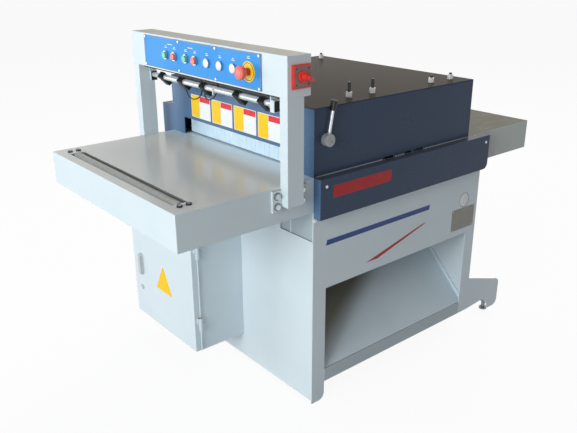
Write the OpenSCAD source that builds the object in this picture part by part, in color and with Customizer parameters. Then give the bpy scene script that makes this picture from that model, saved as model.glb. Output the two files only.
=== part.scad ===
// Multi rip saw: a floor machine that feeds boards over a lower saw arbor.
// Frame: +X to the operator's right, +Y along the feed, +Z up, origin on the floor at mid length.

/* [Machine] */
// Width of the infeed table, bed, base and hood
machine_w = 800; // [780:1:880]
// Height of the working surface above the floor
table_h = 810; // [790:1:850]
// Thickness of the base and table sheet
sheet_t = 4; // [3:0.5:5]
// Thickness of the guard and hood sheet
guard_t = 3; // [2:0.5:4]

/* [Base] */
// Infeed edge to the front of the base
base_setback = 479; // [470:1:500]
// Length of the base side panels
base_l = 850; // [840:1:900]
// Width of the legs beside the chip opening
leg_w = 57; // [45:1:75]
// Radius at the foot of a front leg
leg_r = 25; // [10:1:35]
// Height of the lower rail above the floor
rail_low = 68; // [55:1:80]
// Depth of the lower rail
rail_h = 50; // [40:1:60]
// Height of the top of the chip opening
opening_top = 424; // [380:1:450]
// Height of the front panel beside its access notch
notch_h = 600; // [570:1:640]
// Width of the access notch
notch_w = 158; // [120:1:200]
// Gap between the front panel and the floor
panel_lift = 12; // [5:1:30]
// Set-in of the rear panel from the back of the sides
rear_inset = 35; // [20:1:45]
// Reach of the rear foot behind the side panel
foot_l = 216; // [180:1:240]
// Height of the rear foot where it leaves the panel
foot_root_h = 207; // [180:1:240]
// Height of the rear foot near its tip
foot_tip_h = 146; // [120:1:170]
// Gap under the rear foot
foot_low = 20; // [12:1:30]
// Corner radius of the rear foot
foot_r = 26; // [15:1:40]
// Radius of the arch in the rear foot
foot_arch_r = 55; // [40:1:70]
// Width of the heel of the rear foot
foot_heel = 68; // [60:1:85]

/* [Tables] */
// Thickness of the machined bed
bed_t = 20; // [16:1:24]
// Depth of the table skirts
skirt_h = 110; // [90:1:130]
// Overlap of the infeed table on the base
table_lap = 53; // [45:1:60]
// Reach of the outfeed table behind the base
outfeed_l = 307; // [250:1:380]
// Set-in of the outfeed table on each side
outfeed_inset = 10; // [6:1:16]
// Radius of the infeed idler roller
idler_r = 21; // [16:0.5:24]
// Infeed edge to the idler roller
idler_set = 57; // [45:1:80]
// Table edge to the end of the idler roller
idler_margin = 72; // [62:1:100]
// Height of the rollers above the table and bed
roller_proud = 1.5; // [1:0.5:3]

/* [Gantry] */
// Infeed edge to the front of the gantry
gantry_set = 350; // [320:1:360]
// Height of the gantry above the table
gantry_h = 374; // [340:1:420]
// Height of the cross beam
beam_h = 114; // [105:1:130]
// Depth of the cross beam
beam_d = 84; // [80:1:88]
// Width of a post
post_w = 34; // [30:1:36]
// Depth of a post
post_d = 60; // [55:1:64]
// Length of a post below the table surface
post_drop = 57; // [50:1:80]

/* [Controls] */
// Table edge to the end of the control panel
panel_margin = 69; // [50:1:90]
// Height of the control panel
panel_h = 104; // [90:1:108]
// Thickness of the control panel
panel_t = 3; // [2:0.5:4]
// Radius of a button cap
button_r = 11; // [9:0.5:12]
// Travel of a button
button_travel = 4; // [3:0.5:5]
// Radius of the emergency stop collar
collar_r = 30; // [26:1:34]
// Radius of the emergency stop head
stop_r = 20; // [16:1:22]
// Travel of the emergency stop
stop_travel = 6; // [4:0.5:8]
// Side of the isolator plate
isolator_w = 66; // [60:1:72]

/* [Lasers] */
// Radius of the laser rod
rod_r = 9; // [8:0.5:10]
// Drop of the rod below the beam
rod_drop = 40; // [36:1:46]
// Width of a laser bracket
laser_w = 26; // [24:1:30]
// Rod to the lower end of a laser
laser_arm = 34; // [32:1:40]
// Thickness of a laser body
laser_t = 22; // [22:1:26]
// Travel of a laser each way
laser_travel = 20; // [10:1:20]

/* [Hood] */
// Set-in of the hood from the back of the base
hood_short = 95; // [60:1:120]
// Height of the hood above the table
hood_h = 210; // [200:1:240]
// Gap between the hood and the bed
hood_gap = 7; // [5:1:12]
// Height of the board opening above the table
mouth_h = 63; // [55:1:75]
// Hood side to the edge of the board opening
mouth_margin = 78; // [76:1:100]

/* [Pressure rollers] */
// Radius of a pressure roller
press_r = 35; // [30:1:38]
// Gap under the pressure rollers at rest
press_gap = 12; // [8:1:20]
// Lift of a pressure carriage
press_lift = 20; // [10:1:25]
// Spacing of the two rollers in a carriage
press_pitch = 105; // [95:1:115]
// Hood side to the adjusting studs
stud_margin = 60; // [50:1:62]
// Radius of an adjusting stud
stud_r = 5; // [4:0.5:6]

/* [Kickback stop] */
// Hood front to the finger shaft
finger_set = 46; // [44:1:60]
// Height of the finger shaft above the table
finger_h = 112; // [110:1:116]
// Radius of the finger shaft
finger_shaft_r = 10; // [8:0.5:12]
// Length of a finger below its shaft
finger_l = 107; // [95:1:107]
// Number of fingers
finger_count = 26; // [20:1:30]
// Length of the lever above its hub
lever_l = 88; // [80:1:100]
// Radius of the lever hub
lever_hub_r = 19; // [18:1:24]

/* [Saw] */
// Radius of a saw blade
blade_r = 150; // [140:1:152]
// Thickness of a saw blade
blade_t = 3; // [2:0.2:4]
// Number of saw blades
blade_count = 8; // [4:1:10]
// Depth of the arbor below the working surface
arbor_drop = 95; // [92:1:105]
// Radius of the arbor
arbor_r = 25; // [20:1:28]
// Radius of the arbor pulley at the belt
arbor_pulley_r = 50; // [44:1:54]
// Radius of the motor pulley at the belt
motor_pulley_r = 66; // [60:1:70]
// Height of the saw motor
motor_h = 230; // [220:1:240]
// Radius of the saw motor
motor_r = 115; // [100:1:118]

/* [Feed] */
// Radius of a lower feed roller
feed_r = 40; // [34:1:42]
// Radius of a feed pulley at the belt
feed_pulley_r = 36; // [30:1:38]
// Height of the feed gearmotor
gearmotor_h = 330; // [320:1:350]

/* [Covers] */
// Depth of the right-hand side cover
cover_d = 31; // [28:1:40]
// Height of the right-hand side cover
cover_h = 129; // [120:1:140]
// Depth of the left-hand drive guard
guard_d = 76; // [74:1:80]
// Height of the drive guard above the working surface
guard_top = 95; // [85:1:110]

/* [Cabinet] */
// Depth of the cabinet box
cabinet_d = 189; // [150:1:200]
// Height of the cabinet above the floor
cabinet_low = 106; // [90:1:140]
// Depth of the door pan
door_d = 20; // [16:1:26]
// Overhang of the cabinet on the left of the base
cabinet_lap = 8; // [0:1:14]

/* [Hidden] */
$fn = 64;

// Clearances and cuts
overrun = 1;
fit_gap = 0.05;
free_gap = 0.5;
seat_gap = 0.3;

// Main planes
half_w = machine_w / 2;
total_l = base_setback + base_l + outfeed_l;
in_y = -total_l / 2;
out_y = total_l / 2;
base_y = in_y + base_setback;
back_y = base_y + base_l;
rear_y = back_y - rear_inset;
base_h = table_h - bed_t;
bed_y = base_y + table_lap;
inner_w = half_w - sheet_t;
hood_l = base_l - hood_short;
mouth_w = machine_w - 2 * mouth_margin;
stud_x = half_w - stud_margin;

// Colours
white_paint = "#DCE8EE";
navy_paint = "#3A4456";
steel = "#B8BCBE";
chrome = "#D4D8DC";
black = "#202226";

module slab(lo, hi) {
    translate(lo) cube(hi - lo);
}

module bar_x(r, x0, x1, y, z) {
    translate([x0, y, z]) rotate([0, 90, 0]) cylinder(r = r, h = x1 - x0);
}

module bar_y(r, y0, y1, x, z) {
    translate([x, y0, z]) rotate([-90, 0, 0]) cylinder(r = r, h = y1 - y0);
}

module bar_z(r, z0, z1, x, y) {
    translate([x, y, z0]) cylinder(r = r, h = z1 - z0);
}

// A flat shape drawn in Y and Z, as thick as x0 to x1
module plate_yz(x0, x1) {
    translate([x0, 0, 0]) rotate([90, 0, 90]) linear_extrude(x1 - x0) children();
}

// A flat shape drawn in X and Z, as thick as y0 to y1
module plate_xz(y0, y1) {
    translate([0, y1, 0]) rotate([90, 0, 0]) linear_extrude(y1 - y0) children();
}

module both_sides() {
    children();
    mirror([1, 0, 0]) children();
}

// Drive places in Y and Z
first_share = 0.262;
carriage_share = 0.526;
press_first = hood_l * first_share;
carriage_pitch = hood_l * carriage_share;
arbor_y = base_y + press_first + press_pitch / 2 + carriage_pitch / 2;
arbor_z = table_h - arbor_drop;
press_y = [base_y + press_first, base_y + press_first + press_pitch,
    base_y + press_first + carriage_pitch, base_y + press_first + carriage_pitch + press_pitch];
feed_y = [press_y[0], press_y[3]];
feed_z = table_h - feed_r + roller_proud;
gearmotor_set = 40;
gearmotor_y = press_y[0] + gearmotor_set;
gearmotor_r = 62;

// Shafts and their ports in the left side
journal_r = 17;
motor_shaft_r = 19;
gear_shaft_r = 14;
port_gap = 12;

// Base
foot_end = back_y + foot_l;
foot_arch_y = foot_end - foot_heel - foot_arch_r;

module foot_outline() {
    difference() {
        union() {
            polygon([[back_y - sheet_t, foot_root_h], [back_y, foot_root_h],
                [foot_end - foot_r, foot_tip_h], [foot_end, foot_tip_h - foot_r],
                [foot_end, foot_low + foot_r], [foot_end - foot_r, foot_low],
                [foot_arch_y, foot_low], [foot_arch_y, foot_low + foot_arch_r],
                [back_y, rail_low], [back_y - sheet_t, rail_low]]);
            for (z = [foot_tip_h - foot_r, foot_low + foot_r])
                translate([foot_end - foot_r, z]) circle(foot_r);
        }
        translate([foot_arch_y, foot_low]) circle(foot_arch_r);
    }
}

module side_outline() {
    translate([base_y, rail_low]) square([base_l, base_h - rail_low]);
    translate([base_y, leg_r]) square([leg_w, rail_low]);
    translate([base_y, 0]) square([leg_w - leg_r, rail_low]);
    translate([base_y + leg_w - leg_r, leg_r]) circle(leg_r);
    foot_outline();
}

module right_side_outline() {
    difference() {
        side_outline();
        translate([base_y + leg_w, rail_low + rail_h])
            square([base_l - 2 * leg_w, opening_top - rail_low - rail_h]);
    }
}

module left_side_outline() {
    difference() {
        side_outline();
        translate([arbor_y, arbor_z]) circle(arbor_r + port_gap);
        translate([arbor_y, motor_h]) circle(motor_shaft_r + port_gap);
        translate([gearmotor_y, gearmotor_h]) circle(gear_shaft_r + port_gap);
        for (y = feed_y) translate([y, feed_z]) circle(journal_r + port_gap / 2);
    }
}

module base_sides() {
    color(white_paint) {
        plate_yz(inner_w, half_w) right_side_outline();
        plate_yz(-half_w, -inner_w) left_side_outline();
    }
}

module base_ends() {
    color(white_paint) {
        difference() {
            slab([-inner_w, base_y, panel_lift], [inner_w, base_y + sheet_t, base_h]);
            slab([inner_w - notch_w, base_y - overrun, notch_h],
                [inner_w + overrun, base_y + sheet_t + overrun, base_h + overrun]);
        }
        slab([-inner_w, rear_y, rail_low], [inner_w, rear_y + sheet_t, base_h]);
    }
}

// Bearing walls, the front of the saw chamber, packing rail and motor shelf inside the base
wall_set = 114;
wall_x = half_w - wall_set;
wall_t = 8;
wall_low = 539;
chamber_set = 60;
shelf_h = 100;
shelf_t = 6;
shelf_w = 330;
table_t = sheet_t;

module wall_outline() {
    difference() {
        translate([base_y + sheet_t, wall_low]) square([rear_y - base_y - sheet_t, base_h - wall_low]);
        translate([arbor_y, arbor_z]) circle(arbor_r + port_gap);
        for (y = feed_y) translate([y, feed_z]) circle(journal_r + port_gap / 2);
    }
}

module inner_frame() {
    color(white_paint) {
        for (side = [-1, 1])
            plate_yz(side * wall_x - wall_t / 2, side * wall_x + wall_t / 2) wall_outline();
        slab([-wall_x, base_y + chamber_set, wall_low],
            [wall_x, base_y + chamber_set + sheet_t, base_h]);
        slab([-inner_w, base_y + sheet_t, base_h], [inner_w, bed_y - free_gap, table_h - table_t]);
        slab([-inner_w, base_y + sheet_t, shelf_h], [shelf_w - inner_w, rear_y, shelf_h + shelf_t]);
        slab([gearbox_x, gearmotor_y - gearbox_w / 2, shelf_h + shelf_t],
            [gearbox_x + gearbox_l, gearmotor_y + gearbox_w / 2, gearmotor_h - gearbox_w / 2]);
    }
}

// Chip chute: a steep lower run and a flatter upper run
chute_t = 3;
chute_knee_share = 0.25;
chute_slope = 45;
chute_top_slope = 15;
chute_hem = 18;
chute_hem_w = 6;
chute_x = inner_w - seat_gap;
chute_z = rail_low + rail_h - chute_t;
knee_x = half_w * chute_knee_share;
knee_z = chute_z + (chute_x - knee_x) * tan(chute_slope);
chute_end_z = knee_z + (knee_x + inner_w) * tan(chute_top_slope);

module chute_outline(depth) {
    polygon([[chute_x, chute_z], [chute_x, chute_z + depth], [knee_x, knee_z + depth],
        [-inner_w, chute_end_z + depth], [-inner_w, chute_end_z], [knee_x, knee_z]]);
}

module chip_chute() {
    color("#A8B0AE") {
        plate_xz(base_y + sheet_t, rear_y) chute_outline(chute_t);
        plate_xz(rear_y - chute_hem_w, rear_y) chute_outline(chute_t + chute_hem);
    }
}

// Levelling screws and their brackets in the rear feet
pad_r = 16;
pad_t = 8;
level_r = 8;
level_head_r = 14;
level_head_t = 10;
lug_t = 8;
lug_w = 56;
lug_z = foot_low + foot_r;
level_x = inner_w - lug_w / 2;
level_y = foot_end - foot_heel / 2 - foot_r / 2;

module levelling_feet() {
    color("#2C3550") both_sides() {
        difference() {
            slab([inner_w - lug_w, level_y - lug_w / 2, lug_z], [inner_w, level_y + lug_w / 2,
                lug_z + lug_t]);
            bar_z(level_r, lug_z - overrun, lug_z + lug_t + overrun, level_x, level_y);
        }
        bar_z(pad_r, 0, pad_t, level_x, level_y);
        bar_z(level_r, 0, lug_z + lug_t + level_head_t, level_x, level_y);
        bar_z(level_head_r, lug_z + lug_t, lug_z + lug_t + level_head_t, level_x, level_y);
    }
}

// Bed plate with blade and roller slots
blade_pitch = 2 * (wall_x - wall_t) / blade_count;
blade_slot_gap = 2;
roller_slot_gap = 3;
bearing_cap = 8;
feed_l = 2 * (wall_x - wall_t / 2 - bearing_cap);
blade_xs = [for (i = [0 : blade_count - 1]) (i - (blade_count - 1) / 2) * blade_pitch];
blade_reach = sqrt(pow(blade_r, 2) - pow(arbor_drop - bed_t, 2));
feed_reach = sqrt(pow(feed_r, 2) - pow(max(feed_r - roller_proud - bed_t, 0), 2));

module bed_plate() {
    color(steel) difference() {
        slab([-half_w, bed_y + free_gap, base_h], [half_w, back_y, table_h]);
        for (x = blade_xs)
            slab([x - blade_t / 2 - blade_slot_gap, arbor_y - blade_reach - roller_slot_gap,
                base_h - overrun],
                [x + blade_t / 2 + blade_slot_gap, arbor_y + blade_reach + roller_slot_gap,
                    table_h + overrun]);
        for (y = feed_y)
            slab([-feed_l / 2 - roller_slot_gap, y - feed_reach - roller_slot_gap, base_h - overrun],
                [feed_l / 2 + roller_slot_gap, y + feed_reach + roller_slot_gap, table_h + overrun]);
    }
}

// Infeed table, a folded tray with a slot for its idler roller
idler_l = machine_w - 2 * idler_margin;
idler_y = in_y + idler_set;
idler_z = table_h - idler_r + roller_proud;
idler_slot_gap = 4;
idler_block_l = 34;
idler_block_w = 40;
idler_block_low = 16;
idler_pin_r = 8;
idler_bolt_r = 4;
idler_bolt_share = 0.36;
idler_block_x = idler_l / 2 + idler_slot_gap + idler_slot_gap;

module idler_bolt_places() {
    for (side = [-1, 1])
        for (end = [-1, 1])
            translate([side * (idler_block_x + idler_block_l / 2),
                idler_y + end * idler_bolt_share * idler_block_w, 0]) children();
}

module infeed_table() {
    color(white_paint) difference() {
        union() {
            slab([-half_w, in_y, table_h - table_t], [half_w, bed_y, table_h]);
            slab([-half_w, in_y, table_h - skirt_h], [half_w, in_y + table_t, table_h]);
            both_sides() slab([inner_w, in_y, table_h - skirt_h], [half_w, base_y, table_h]);
        }
        slab([-idler_l / 2 - idler_slot_gap, idler_y - idler_r - idler_slot_gap, table_h - skirt_h],
            [idler_l / 2 + idler_slot_gap, idler_y + idler_r + idler_slot_gap, table_h + overrun]);
        idler_bolt_places() bar_z(idler_bolt_r, table_h - skirt_h, table_h + overrun, 0, 0);
        gantry_bolt_places() bar_x(foot_bolt_r, inner_w - overrun, half_w + overrun, 0, 0);
    }
}

outfeed_w = half_w - outfeed_inset;

module outfeed_table() {
    color(white_paint) {
        slab([-outfeed_w, back_y + free_gap, table_h - table_t], [outfeed_w, out_y, table_h]);
        slab([-outfeed_w, out_y - table_t, table_h - skirt_h], [outfeed_w, out_y, table_h]);
        both_sides() {
            slab([outfeed_w - table_t, back_y + free_gap, table_h - skirt_h], [outfeed_w, out_y,
                table_h]);
            slab([outfeed_w - table_t, rear_y + sheet_t, table_h - skirt_h],
                [outfeed_w, back_y + overrun, base_h - free_gap]);
        }
    }
}

// Gantry
gantry_y = in_y + gantry_set;
gantry_w = half_w + post_w;
beam_z = table_h + gantry_h - beam_h;
beam_top = table_h + gantry_h;
beam_back = gantry_y + beam_d;
tube_t = 3;

module gantry_posts() {
    color(white_paint) both_sides() difference() {
        slab([half_w, gantry_y, table_h - post_drop], [gantry_w, gantry_y + post_d, beam_z]);
        slab([half_w + tube_t, gantry_y + tube_t, table_h - post_drop - overrun],
            [gantry_w - tube_t, gantry_y + post_d - tube_t, beam_z + overrun]);
    }
}

module gantry_beam() {
    color(white_paint) difference() {
        slab([-gantry_w, gantry_y, beam_z], [gantry_w, beam_back, beam_top]);
        slab([-gantry_w + tube_t, gantry_y + tube_t, beam_z + tube_t],
            [gantry_w - tube_t, beam_back - tube_t, beam_top - tube_t]);
        for (x = concat(button_xs, lamp_xs, [stop_x]))
            bar_y(button_r + free_gap, gantry_y - overrun, gantry_y + tube_t + overrun, x, control_z);
    }
}

// Foot brackets of the posts and hangers of the laser rod
foot_plate_w = 34;
foot_plate_h = 66;
foot_plate_t = 6;
foot_plate_z = table_h - foot_plate_h - foot_plate_t;
foot_bolt_r = 5;
foot_bolt_share = 0.24;
hanger_t = 4;
hanger_w = 25;
hanger_low = 21;
hanger_high = 14;
hanger_blocks = [8, 17];
hanger_foot = 26;
rod_set = 50;
rod_y = gantry_y + rod_set;
rod_z = beam_z - rod_drop;
rod_end_share = 0.7775;
rod_ends = [-inner_w + hanger_t, half_w * rod_end_share];

module gantry_bolt_places() {
    for (y = [gantry_y - foot_plate_w / 2, gantry_y + post_d + foot_plate_w / 2])
        for (end = [-1, 1])
            for (side = [0, 1])
                mirror([side, 0, 0])
                    translate([0, y, foot_plate_z + foot_plate_h / 2
                        + end * foot_bolt_share * foot_plate_h]) children();
}

// A rod hanger: a block on the rod, with a strap up to its foot under the beam
module hanger(x, block) {
    difference() {
        union() {
            slab([x - hanger_t / 2, rod_y - hanger_w / 2, rod_z - hanger_low],
                [x + block, rod_y + hanger_w / 2, rod_z + hanger_high]);
            slab([x - hanger_t / 2, rod_y - hanger_w / 2, rod_z],
                [x + hanger_t / 2, rod_y + hanger_w / 2, beam_z]);
            slab([x - hanger_t / 2, rod_y - hanger_w / 2, beam_z - hanger_t],
                [x + hanger_foot, rod_y + hanger_w / 2, beam_z]);
        }
        bar_x(rod_r + fit_gap, x - hanger_t, x + 2 * hanger_t + free_gap, rod_y, rod_z);
    }
}

module brackets() {
    color(white_paint) {
        difference() {
            both_sides() for (y = [gantry_y - foot_plate_w, gantry_y + post_d])
                slab([half_w, y, foot_plate_z], [half_w + foot_plate_t, y + foot_plate_w,
                    foot_plate_z + foot_plate_h]);
            gantry_bolt_places() bar_x(foot_bolt_r, half_w - overrun, half_w + foot_plate_t + overrun,
                0, 0);
        }
        for (i = [0, 1]) hanger(rod_ends[i], hanger_blocks[i]);
    }
}

// Bolts and screws that hold the gantry, idler, panel, covers and guard
foot_head_r = 9;
foot_head_t = 7;
screw_r = 4;
screw_t = 2.5;
screw_edge = 6;
cover_screw_r = 5;
cover_screw_edge = 24;
panel_screw_shares = [0.012, 0.34, 0.66, 0.988];

module hex_x(r, x0, x1) {
    translate([x0, 0, 0]) rotate([0, 90, 0]) cylinder(r = r, h = x1 - x0, $fn = 6);
}

module fasteners() {
    color(chrome) {
        gantry_bolt_places() {
            hex_x(foot_head_r, half_w + foot_plate_t, half_w + foot_plate_t + foot_head_t);
            bar_x(foot_bolt_r - fit_gap, inner_w, half_w + foot_plate_t, 0, 0);
        }
        idler_bolt_places() {
            bar_z(idler_bolt_r * 2, table_h, table_h + idler_bolt_r, 0, 0);
            bar_z(idler_bolt_r - fit_gap, idler_z, table_h, 0, 0);
        }
        for (share = panel_screw_shares)
            for (z = [panel_z + screw_edge, panel_z + panel_h - screw_edge])
                bar_y(screw_r, panel_y - screw_t, panel_y, panel_x0 + share * panel_w, z);
        for (y = [base_y + cover_screw_edge, cover_back - cover_screw_edge]) {
            bar_x(cover_screw_r, half_w + cover_d, half_w + cover_d + screw_t, y,
                table_h - cover_screw_edge);
            bar_z(cover_screw_r, table_h + guard_top, table_h + guard_top + screw_t,
                -half_w - guard_d / 2, y);
        }
    }
}

// Control panel on the front of the beam
panel_w = machine_w - 2 * panel_margin;
panel_shift = -9;
panel_x0 = panel_shift - panel_w / 2;
panel_z = beam_z + (beam_h - panel_h) / 2;
panel_y = gantry_y - panel_t;
control_share = 0.47;
control_z = panel_z + panel_h * control_share;
button_shares = [0.219, 0.3, 0.406, 0.488];
lamp_shares = [0.59, 0.696, 0.8];
stop_share = 0.914;
button_xs = [for (share = button_shares) panel_x0 + share * panel_w];
lamp_xs = [for (share = lamp_shares) panel_x0 + share * panel_w];
stop_x = panel_x0 + stop_share * panel_w;
bezel_rim = 3.5;
bezel_t = 6;
cap_proud = 5.5;
lamp_dome = 6;
collar_t = 2.5;

module control_panel() {
    color("#2A7FD8") difference() {
        slab([panel_x0, panel_y, panel_z], [panel_x0 + panel_w, gantry_y, panel_z + panel_h]);
        for (x = concat(button_xs, lamp_xs, [stop_x]))
            bar_y(button_r + free_gap, panel_y - overrun, gantry_y + overrun, x, control_z);
    }
}

module button_bezels() {
    color(chrome) for (x = concat(button_xs, lamp_xs)) difference() {
        bar_y(button_r + bezel_rim, panel_y - bezel_t, panel_y, x, control_z);
        bar_y(button_r + seat_gap, panel_y - bezel_t - overrun, panel_y + overrun, x, control_z);
    }
}

module button_cap(i) {
    bar_y(button_r, panel_y - bezel_t - cap_proud, gantry_y + panel_t, button_xs[i], control_z);
}

module saw_start_button() {
    color("#3FB58A") button_cap(0);
}

module saw_stop_button() {
    color("#D8483C") button_cap(1);
}

module feed_start_button() {
    color("#3FB58A") button_cap(2);
}

module feed_stop_button() {
    color("#D8483C") button_cap(3);
}

// A lamp is a stem in its bezel with a shallow domed lens
lamp_lens_r = button_r + bezel_rim;
lamp_sphere_r = (pow(lamp_lens_r, 2) + pow(lamp_dome, 2)) / (2 * lamp_dome);

module indicator_lamps() {
    color("#F2F5F6") for (x = lamp_xs) {
        bar_y(button_r, panel_y - bezel_t, gantry_y + panel_t, x, control_z);
        intersection() {
            translate([x, panel_y - bezel_t - lamp_dome + lamp_sphere_r,
                control_z]) sphere(lamp_sphere_r);
            bar_y(lamp_lens_r, panel_y - bezel_t - lamp_dome - overrun, panel_y - bezel_t, x, control_z);
        }
    }
}

// Contact blocks behind the panel, contactors in the cabinet and the mains gland
contact_w = 28;
contact_d = 36;
contact_relief = button_travel + stop_travel;
gear_shares = [0.14, 0.32, 0.5, 0.68, 0.86];
gear_w = 62;
gear_d = 74;
gear_hs = [96, 96, 96, 80, 80];
gear_z_share = 0.62;
rail_plate_t = 6;
gland_r = 15;
gland_l = 26;
gland_bore_r = 8;
gland_share = 0.2;

module contact_block(x) {
    difference() {
        slab([x - contact_w / 2, gantry_y + tube_t, control_z - contact_w / 2],
            [x + contact_w / 2, gantry_y + tube_t + contact_d, control_z + contact_w / 2]);
        bar_y(button_r + free_gap, gantry_y, gantry_y + tube_t + contact_relief, x, control_z);
    }
}

module switchgear() {
    color(black) {
        for (x = concat(button_xs, lamp_xs, [stop_x])) contact_block(x);
        slab([-cabinet_x + cabinet_w * gear_shares[0] - gear_w / 2, base_y - guard_t - rail_plate_t,
            gear_z - gear_w],
            [-cabinet_x + cabinet_w * gear_shares[4] + gear_w / 2, base_y - guard_t, gear_z + gear_w]);
        for (i = [0 : len(gear_shares) - 1])
            slab([-cabinet_x + cabinet_w * gear_shares[i] - gear_w / 2,
                base_y - guard_t - rail_plate_t - gear_d,
                gear_z - gear_hs[i] / 2],
                [-cabinet_x + cabinet_w * gear_shares[i] + gear_w / 2 - screw_t,
                    base_y - guard_t - rail_plate_t,
                gear_z + gear_hs[i] / 2]);
        difference() {
            bar_z(gland_r, cabinet_low - gland_l, cabinet_low, gland_x, gland_y);
            bar_z(gland_bore_r, cabinet_low - gland_l - overrun, cabinet_low - guard_t, gland_x, gland_y);
        }
    }
}

// Emergency stop
stem_r = button_r;
stop_head_t = 22;
stop_stand = 14;
stop_edge = 3;
spigot_r = 6;
spigot_l = 12;
stop_seat_y = panel_y - collar_t - stop_stand;

module stop_collar() {
    color("#F0CE1E") difference() {
        bar_y(collar_r, panel_y - collar_t, panel_y, stop_x, control_z);
        bar_y(stem_r + seat_gap, panel_y - collar_t - overrun, panel_y + overrun, stop_x, control_z);
    }
}

module stop_stem() {
    color("#C8382E") {
        bar_y(stem_r, stop_seat_y, gantry_y + panel_t, stop_x, control_z);
        bar_y(spigot_r, stop_seat_y - spigot_l, stop_seat_y, stop_x, control_z);
    }
}

module stop_head() {
    color("#D8453A") difference() {
        translate([stop_x, stop_seat_y, control_z]) rotate([90, 0, 0]) rotate_extrude()
            polygon([[0, 0], [stop_r - stop_edge * 2, 0], [stop_r, stop_edge * 3],
                [stop_r, stop_head_t - stop_edge], [stop_r - stop_edge, stop_head_t], [0, stop_head_t]]);
        bar_y(spigot_r + fit_gap, stop_seat_y - spigot_l - fit_gap, stop_seat_y + overrun, stop_x,
            control_z);
    }
}

// Main isolator on the right end of the beam
isolator_shift = 4;
isolator_y = gantry_y + beam_d / 2 + isolator_shift;
isolator_z = beam_z + beam_h / 2;
isolator_t = 9;
isolator_bevel = 3;
isolator_hub_r = 16;
isolator_hub_l = 7;
isolator_grip_l = 32;
isolator_grip_w = 12;
isolator_grip_t = 16;
isolator_grip_fall = 7;
isolator_lean = 20;
isolator_pin_r = 6;
isolator_cap_r = 4.5;
isolator_cap_l = 32.7;

module isolator_plate() {
    color("#C23230") difference() {
        union() {
            slab([gantry_w, isolator_y - isolator_w / 2, isolator_z - isolator_w / 2],
                [gantry_w + isolator_t - isolator_bevel, isolator_y + isolator_w / 2,
                    isolator_z + isolator_w / 2]);
            slab([gantry_w, isolator_y - isolator_w / 2 + isolator_bevel,
                isolator_z - isolator_w / 2 + isolator_bevel],
                [gantry_w + isolator_t, isolator_y + isolator_w / 2 - isolator_bevel,
                isolator_z + isolator_w / 2 - isolator_bevel]);
        }
        bar_x(isolator_pin_r + fit_gap, gantry_w + isolator_bevel, gantry_w + isolator_t + overrun,
            isolator_y, isolator_z);
    }
}

isolator_face = gantry_w + isolator_t + seat_gap;

module isolator_handle() {
    color("#C93A36") {
        bar_x(isolator_pin_r, gantry_w + isolator_bevel + seat_gap, isolator_face, isolator_y,
            isolator_z);
        bar_x(isolator_hub_r, isolator_face, isolator_face + isolator_hub_l, isolator_y, isolator_z);
        translate([isolator_face, isolator_y, isolator_z]) rotate([-isolator_lean, 0, 0])
            translate([0, 0, -isolator_grip_w / 2]) linear_extrude(isolator_grip_w)
                polygon([[isolator_hub_l / 2, -isolator_hub_r / 2], [isolator_hub_l + isolator_grip_t,
                    -isolator_hub_r / 2],
                    [isolator_hub_l + isolator_grip_t, isolator_hub_r / 2],
                    [isolator_hub_l + isolator_grip_t - isolator_grip_fall, isolator_grip_l],
                    [isolator_hub_l, isolator_grip_l], [isolator_hub_l / 2, isolator_hub_r / 2]]);
        bar_x(isolator_cap_r, isolator_face + isolator_hub_l, isolator_face + isolator_cap_l,
            isolator_y, isolator_z);
    }
}

// Laser rod and the five laser pointers that slide on it
laser_shares = [-0.7925, -0.474, -0.1325, 0.3425, 0.6575];
laser_head = 14;
laser_slope = 45;
barrel_r = 8;
barrel_proud = 3;

module laser_rod() {
    color(chrome) bar_x(rod_r, rod_ends[0] - hanger_t, rod_ends[1] + hanger_t * 2, rod_y, rod_z);
}

module laser(i) {
    color(black) translate([laser_shares[i] * half_w, rod_y, rod_z]) difference() {
        rotate([-laser_slope, 0, 0]) {
            slab([-laser_w / 2, -laser_head, -laser_t / 2], [laser_w / 2, laser_arm, laser_t / 2]);
            bar_y(barrel_r, laser_arm, laser_arm + barrel_proud, 0, 0);
        }
        bar_x(rod_r + fit_gap, -laser_w, laser_w, 0, 0);
    }
}

module laser_1() { laser(0); }
module laser_2() { laser(1); }
module laser_3() { laser(2); }
module laser_4() { laser(3); }
module laser_5() { laser(4); }

// Laser leads: a thin cable swept along hand-chosen points measured from its laser
lead_d = 4;
lead_sides = 8;
lead_route_2 = [[-laser_w / 2, 20, -19], [-18.5, 20, -19], [-24, 23, -23.5], [-26, 28, -33],
    [-24.5, 32, -45], [-18.5, 33, -55], [-6.5, 33, -61], [9.5, 33, -63.5], [25.5, 33, -61],
    [41.5, 33, -55.5], [55.5, 32.5, -47], [65.5, 32, -37], [71.5, 31, -26], [74.5, 30, -13],
    [75.5, 29, 0], [75.5, 27.5, 15], [75.5, 27, 28], [75.5, 27, rod_drop]];
lead_route_3 = [[-laser_w / 2, 21, -18], [-20.5, 21, -18], [-27, 20, -23], [-29.5, 19, -31],
    [-27, 18, -38], [-20, 18, -43], [-9, 18, -45], [3, 18, -44], [15, 18, -40], [25, 19, -33],
    [33, 20, -24], [38, 22, -13], [41, 24, 0], [42, 25, 14], [42, 26, 28], [42, 26, rod_drop]];

function unit(v) = v / norm(v);
function tangent(p, i) =
    unit(i == 0 ? p[1] - p[0] : i == len(p) - 1 ? p[i] - p[i - 1] : p[i + 1] - p[i - 1]);
function carry(n, t) = unit(n - (n * t) * t);
function normals(p, i, n) =
    i == len(p) ? [] : let (m = carry(n, tangent(p, i))) concat([m], normals(p, i + 1, m));
function ring(c, n, b, r) =
    [for (k = [0 : lead_sides - 1])
        c + r * (cos(full_turn * k / lead_sides) * n + sin(full_turn * k / lead_sides) * b)];

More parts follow.
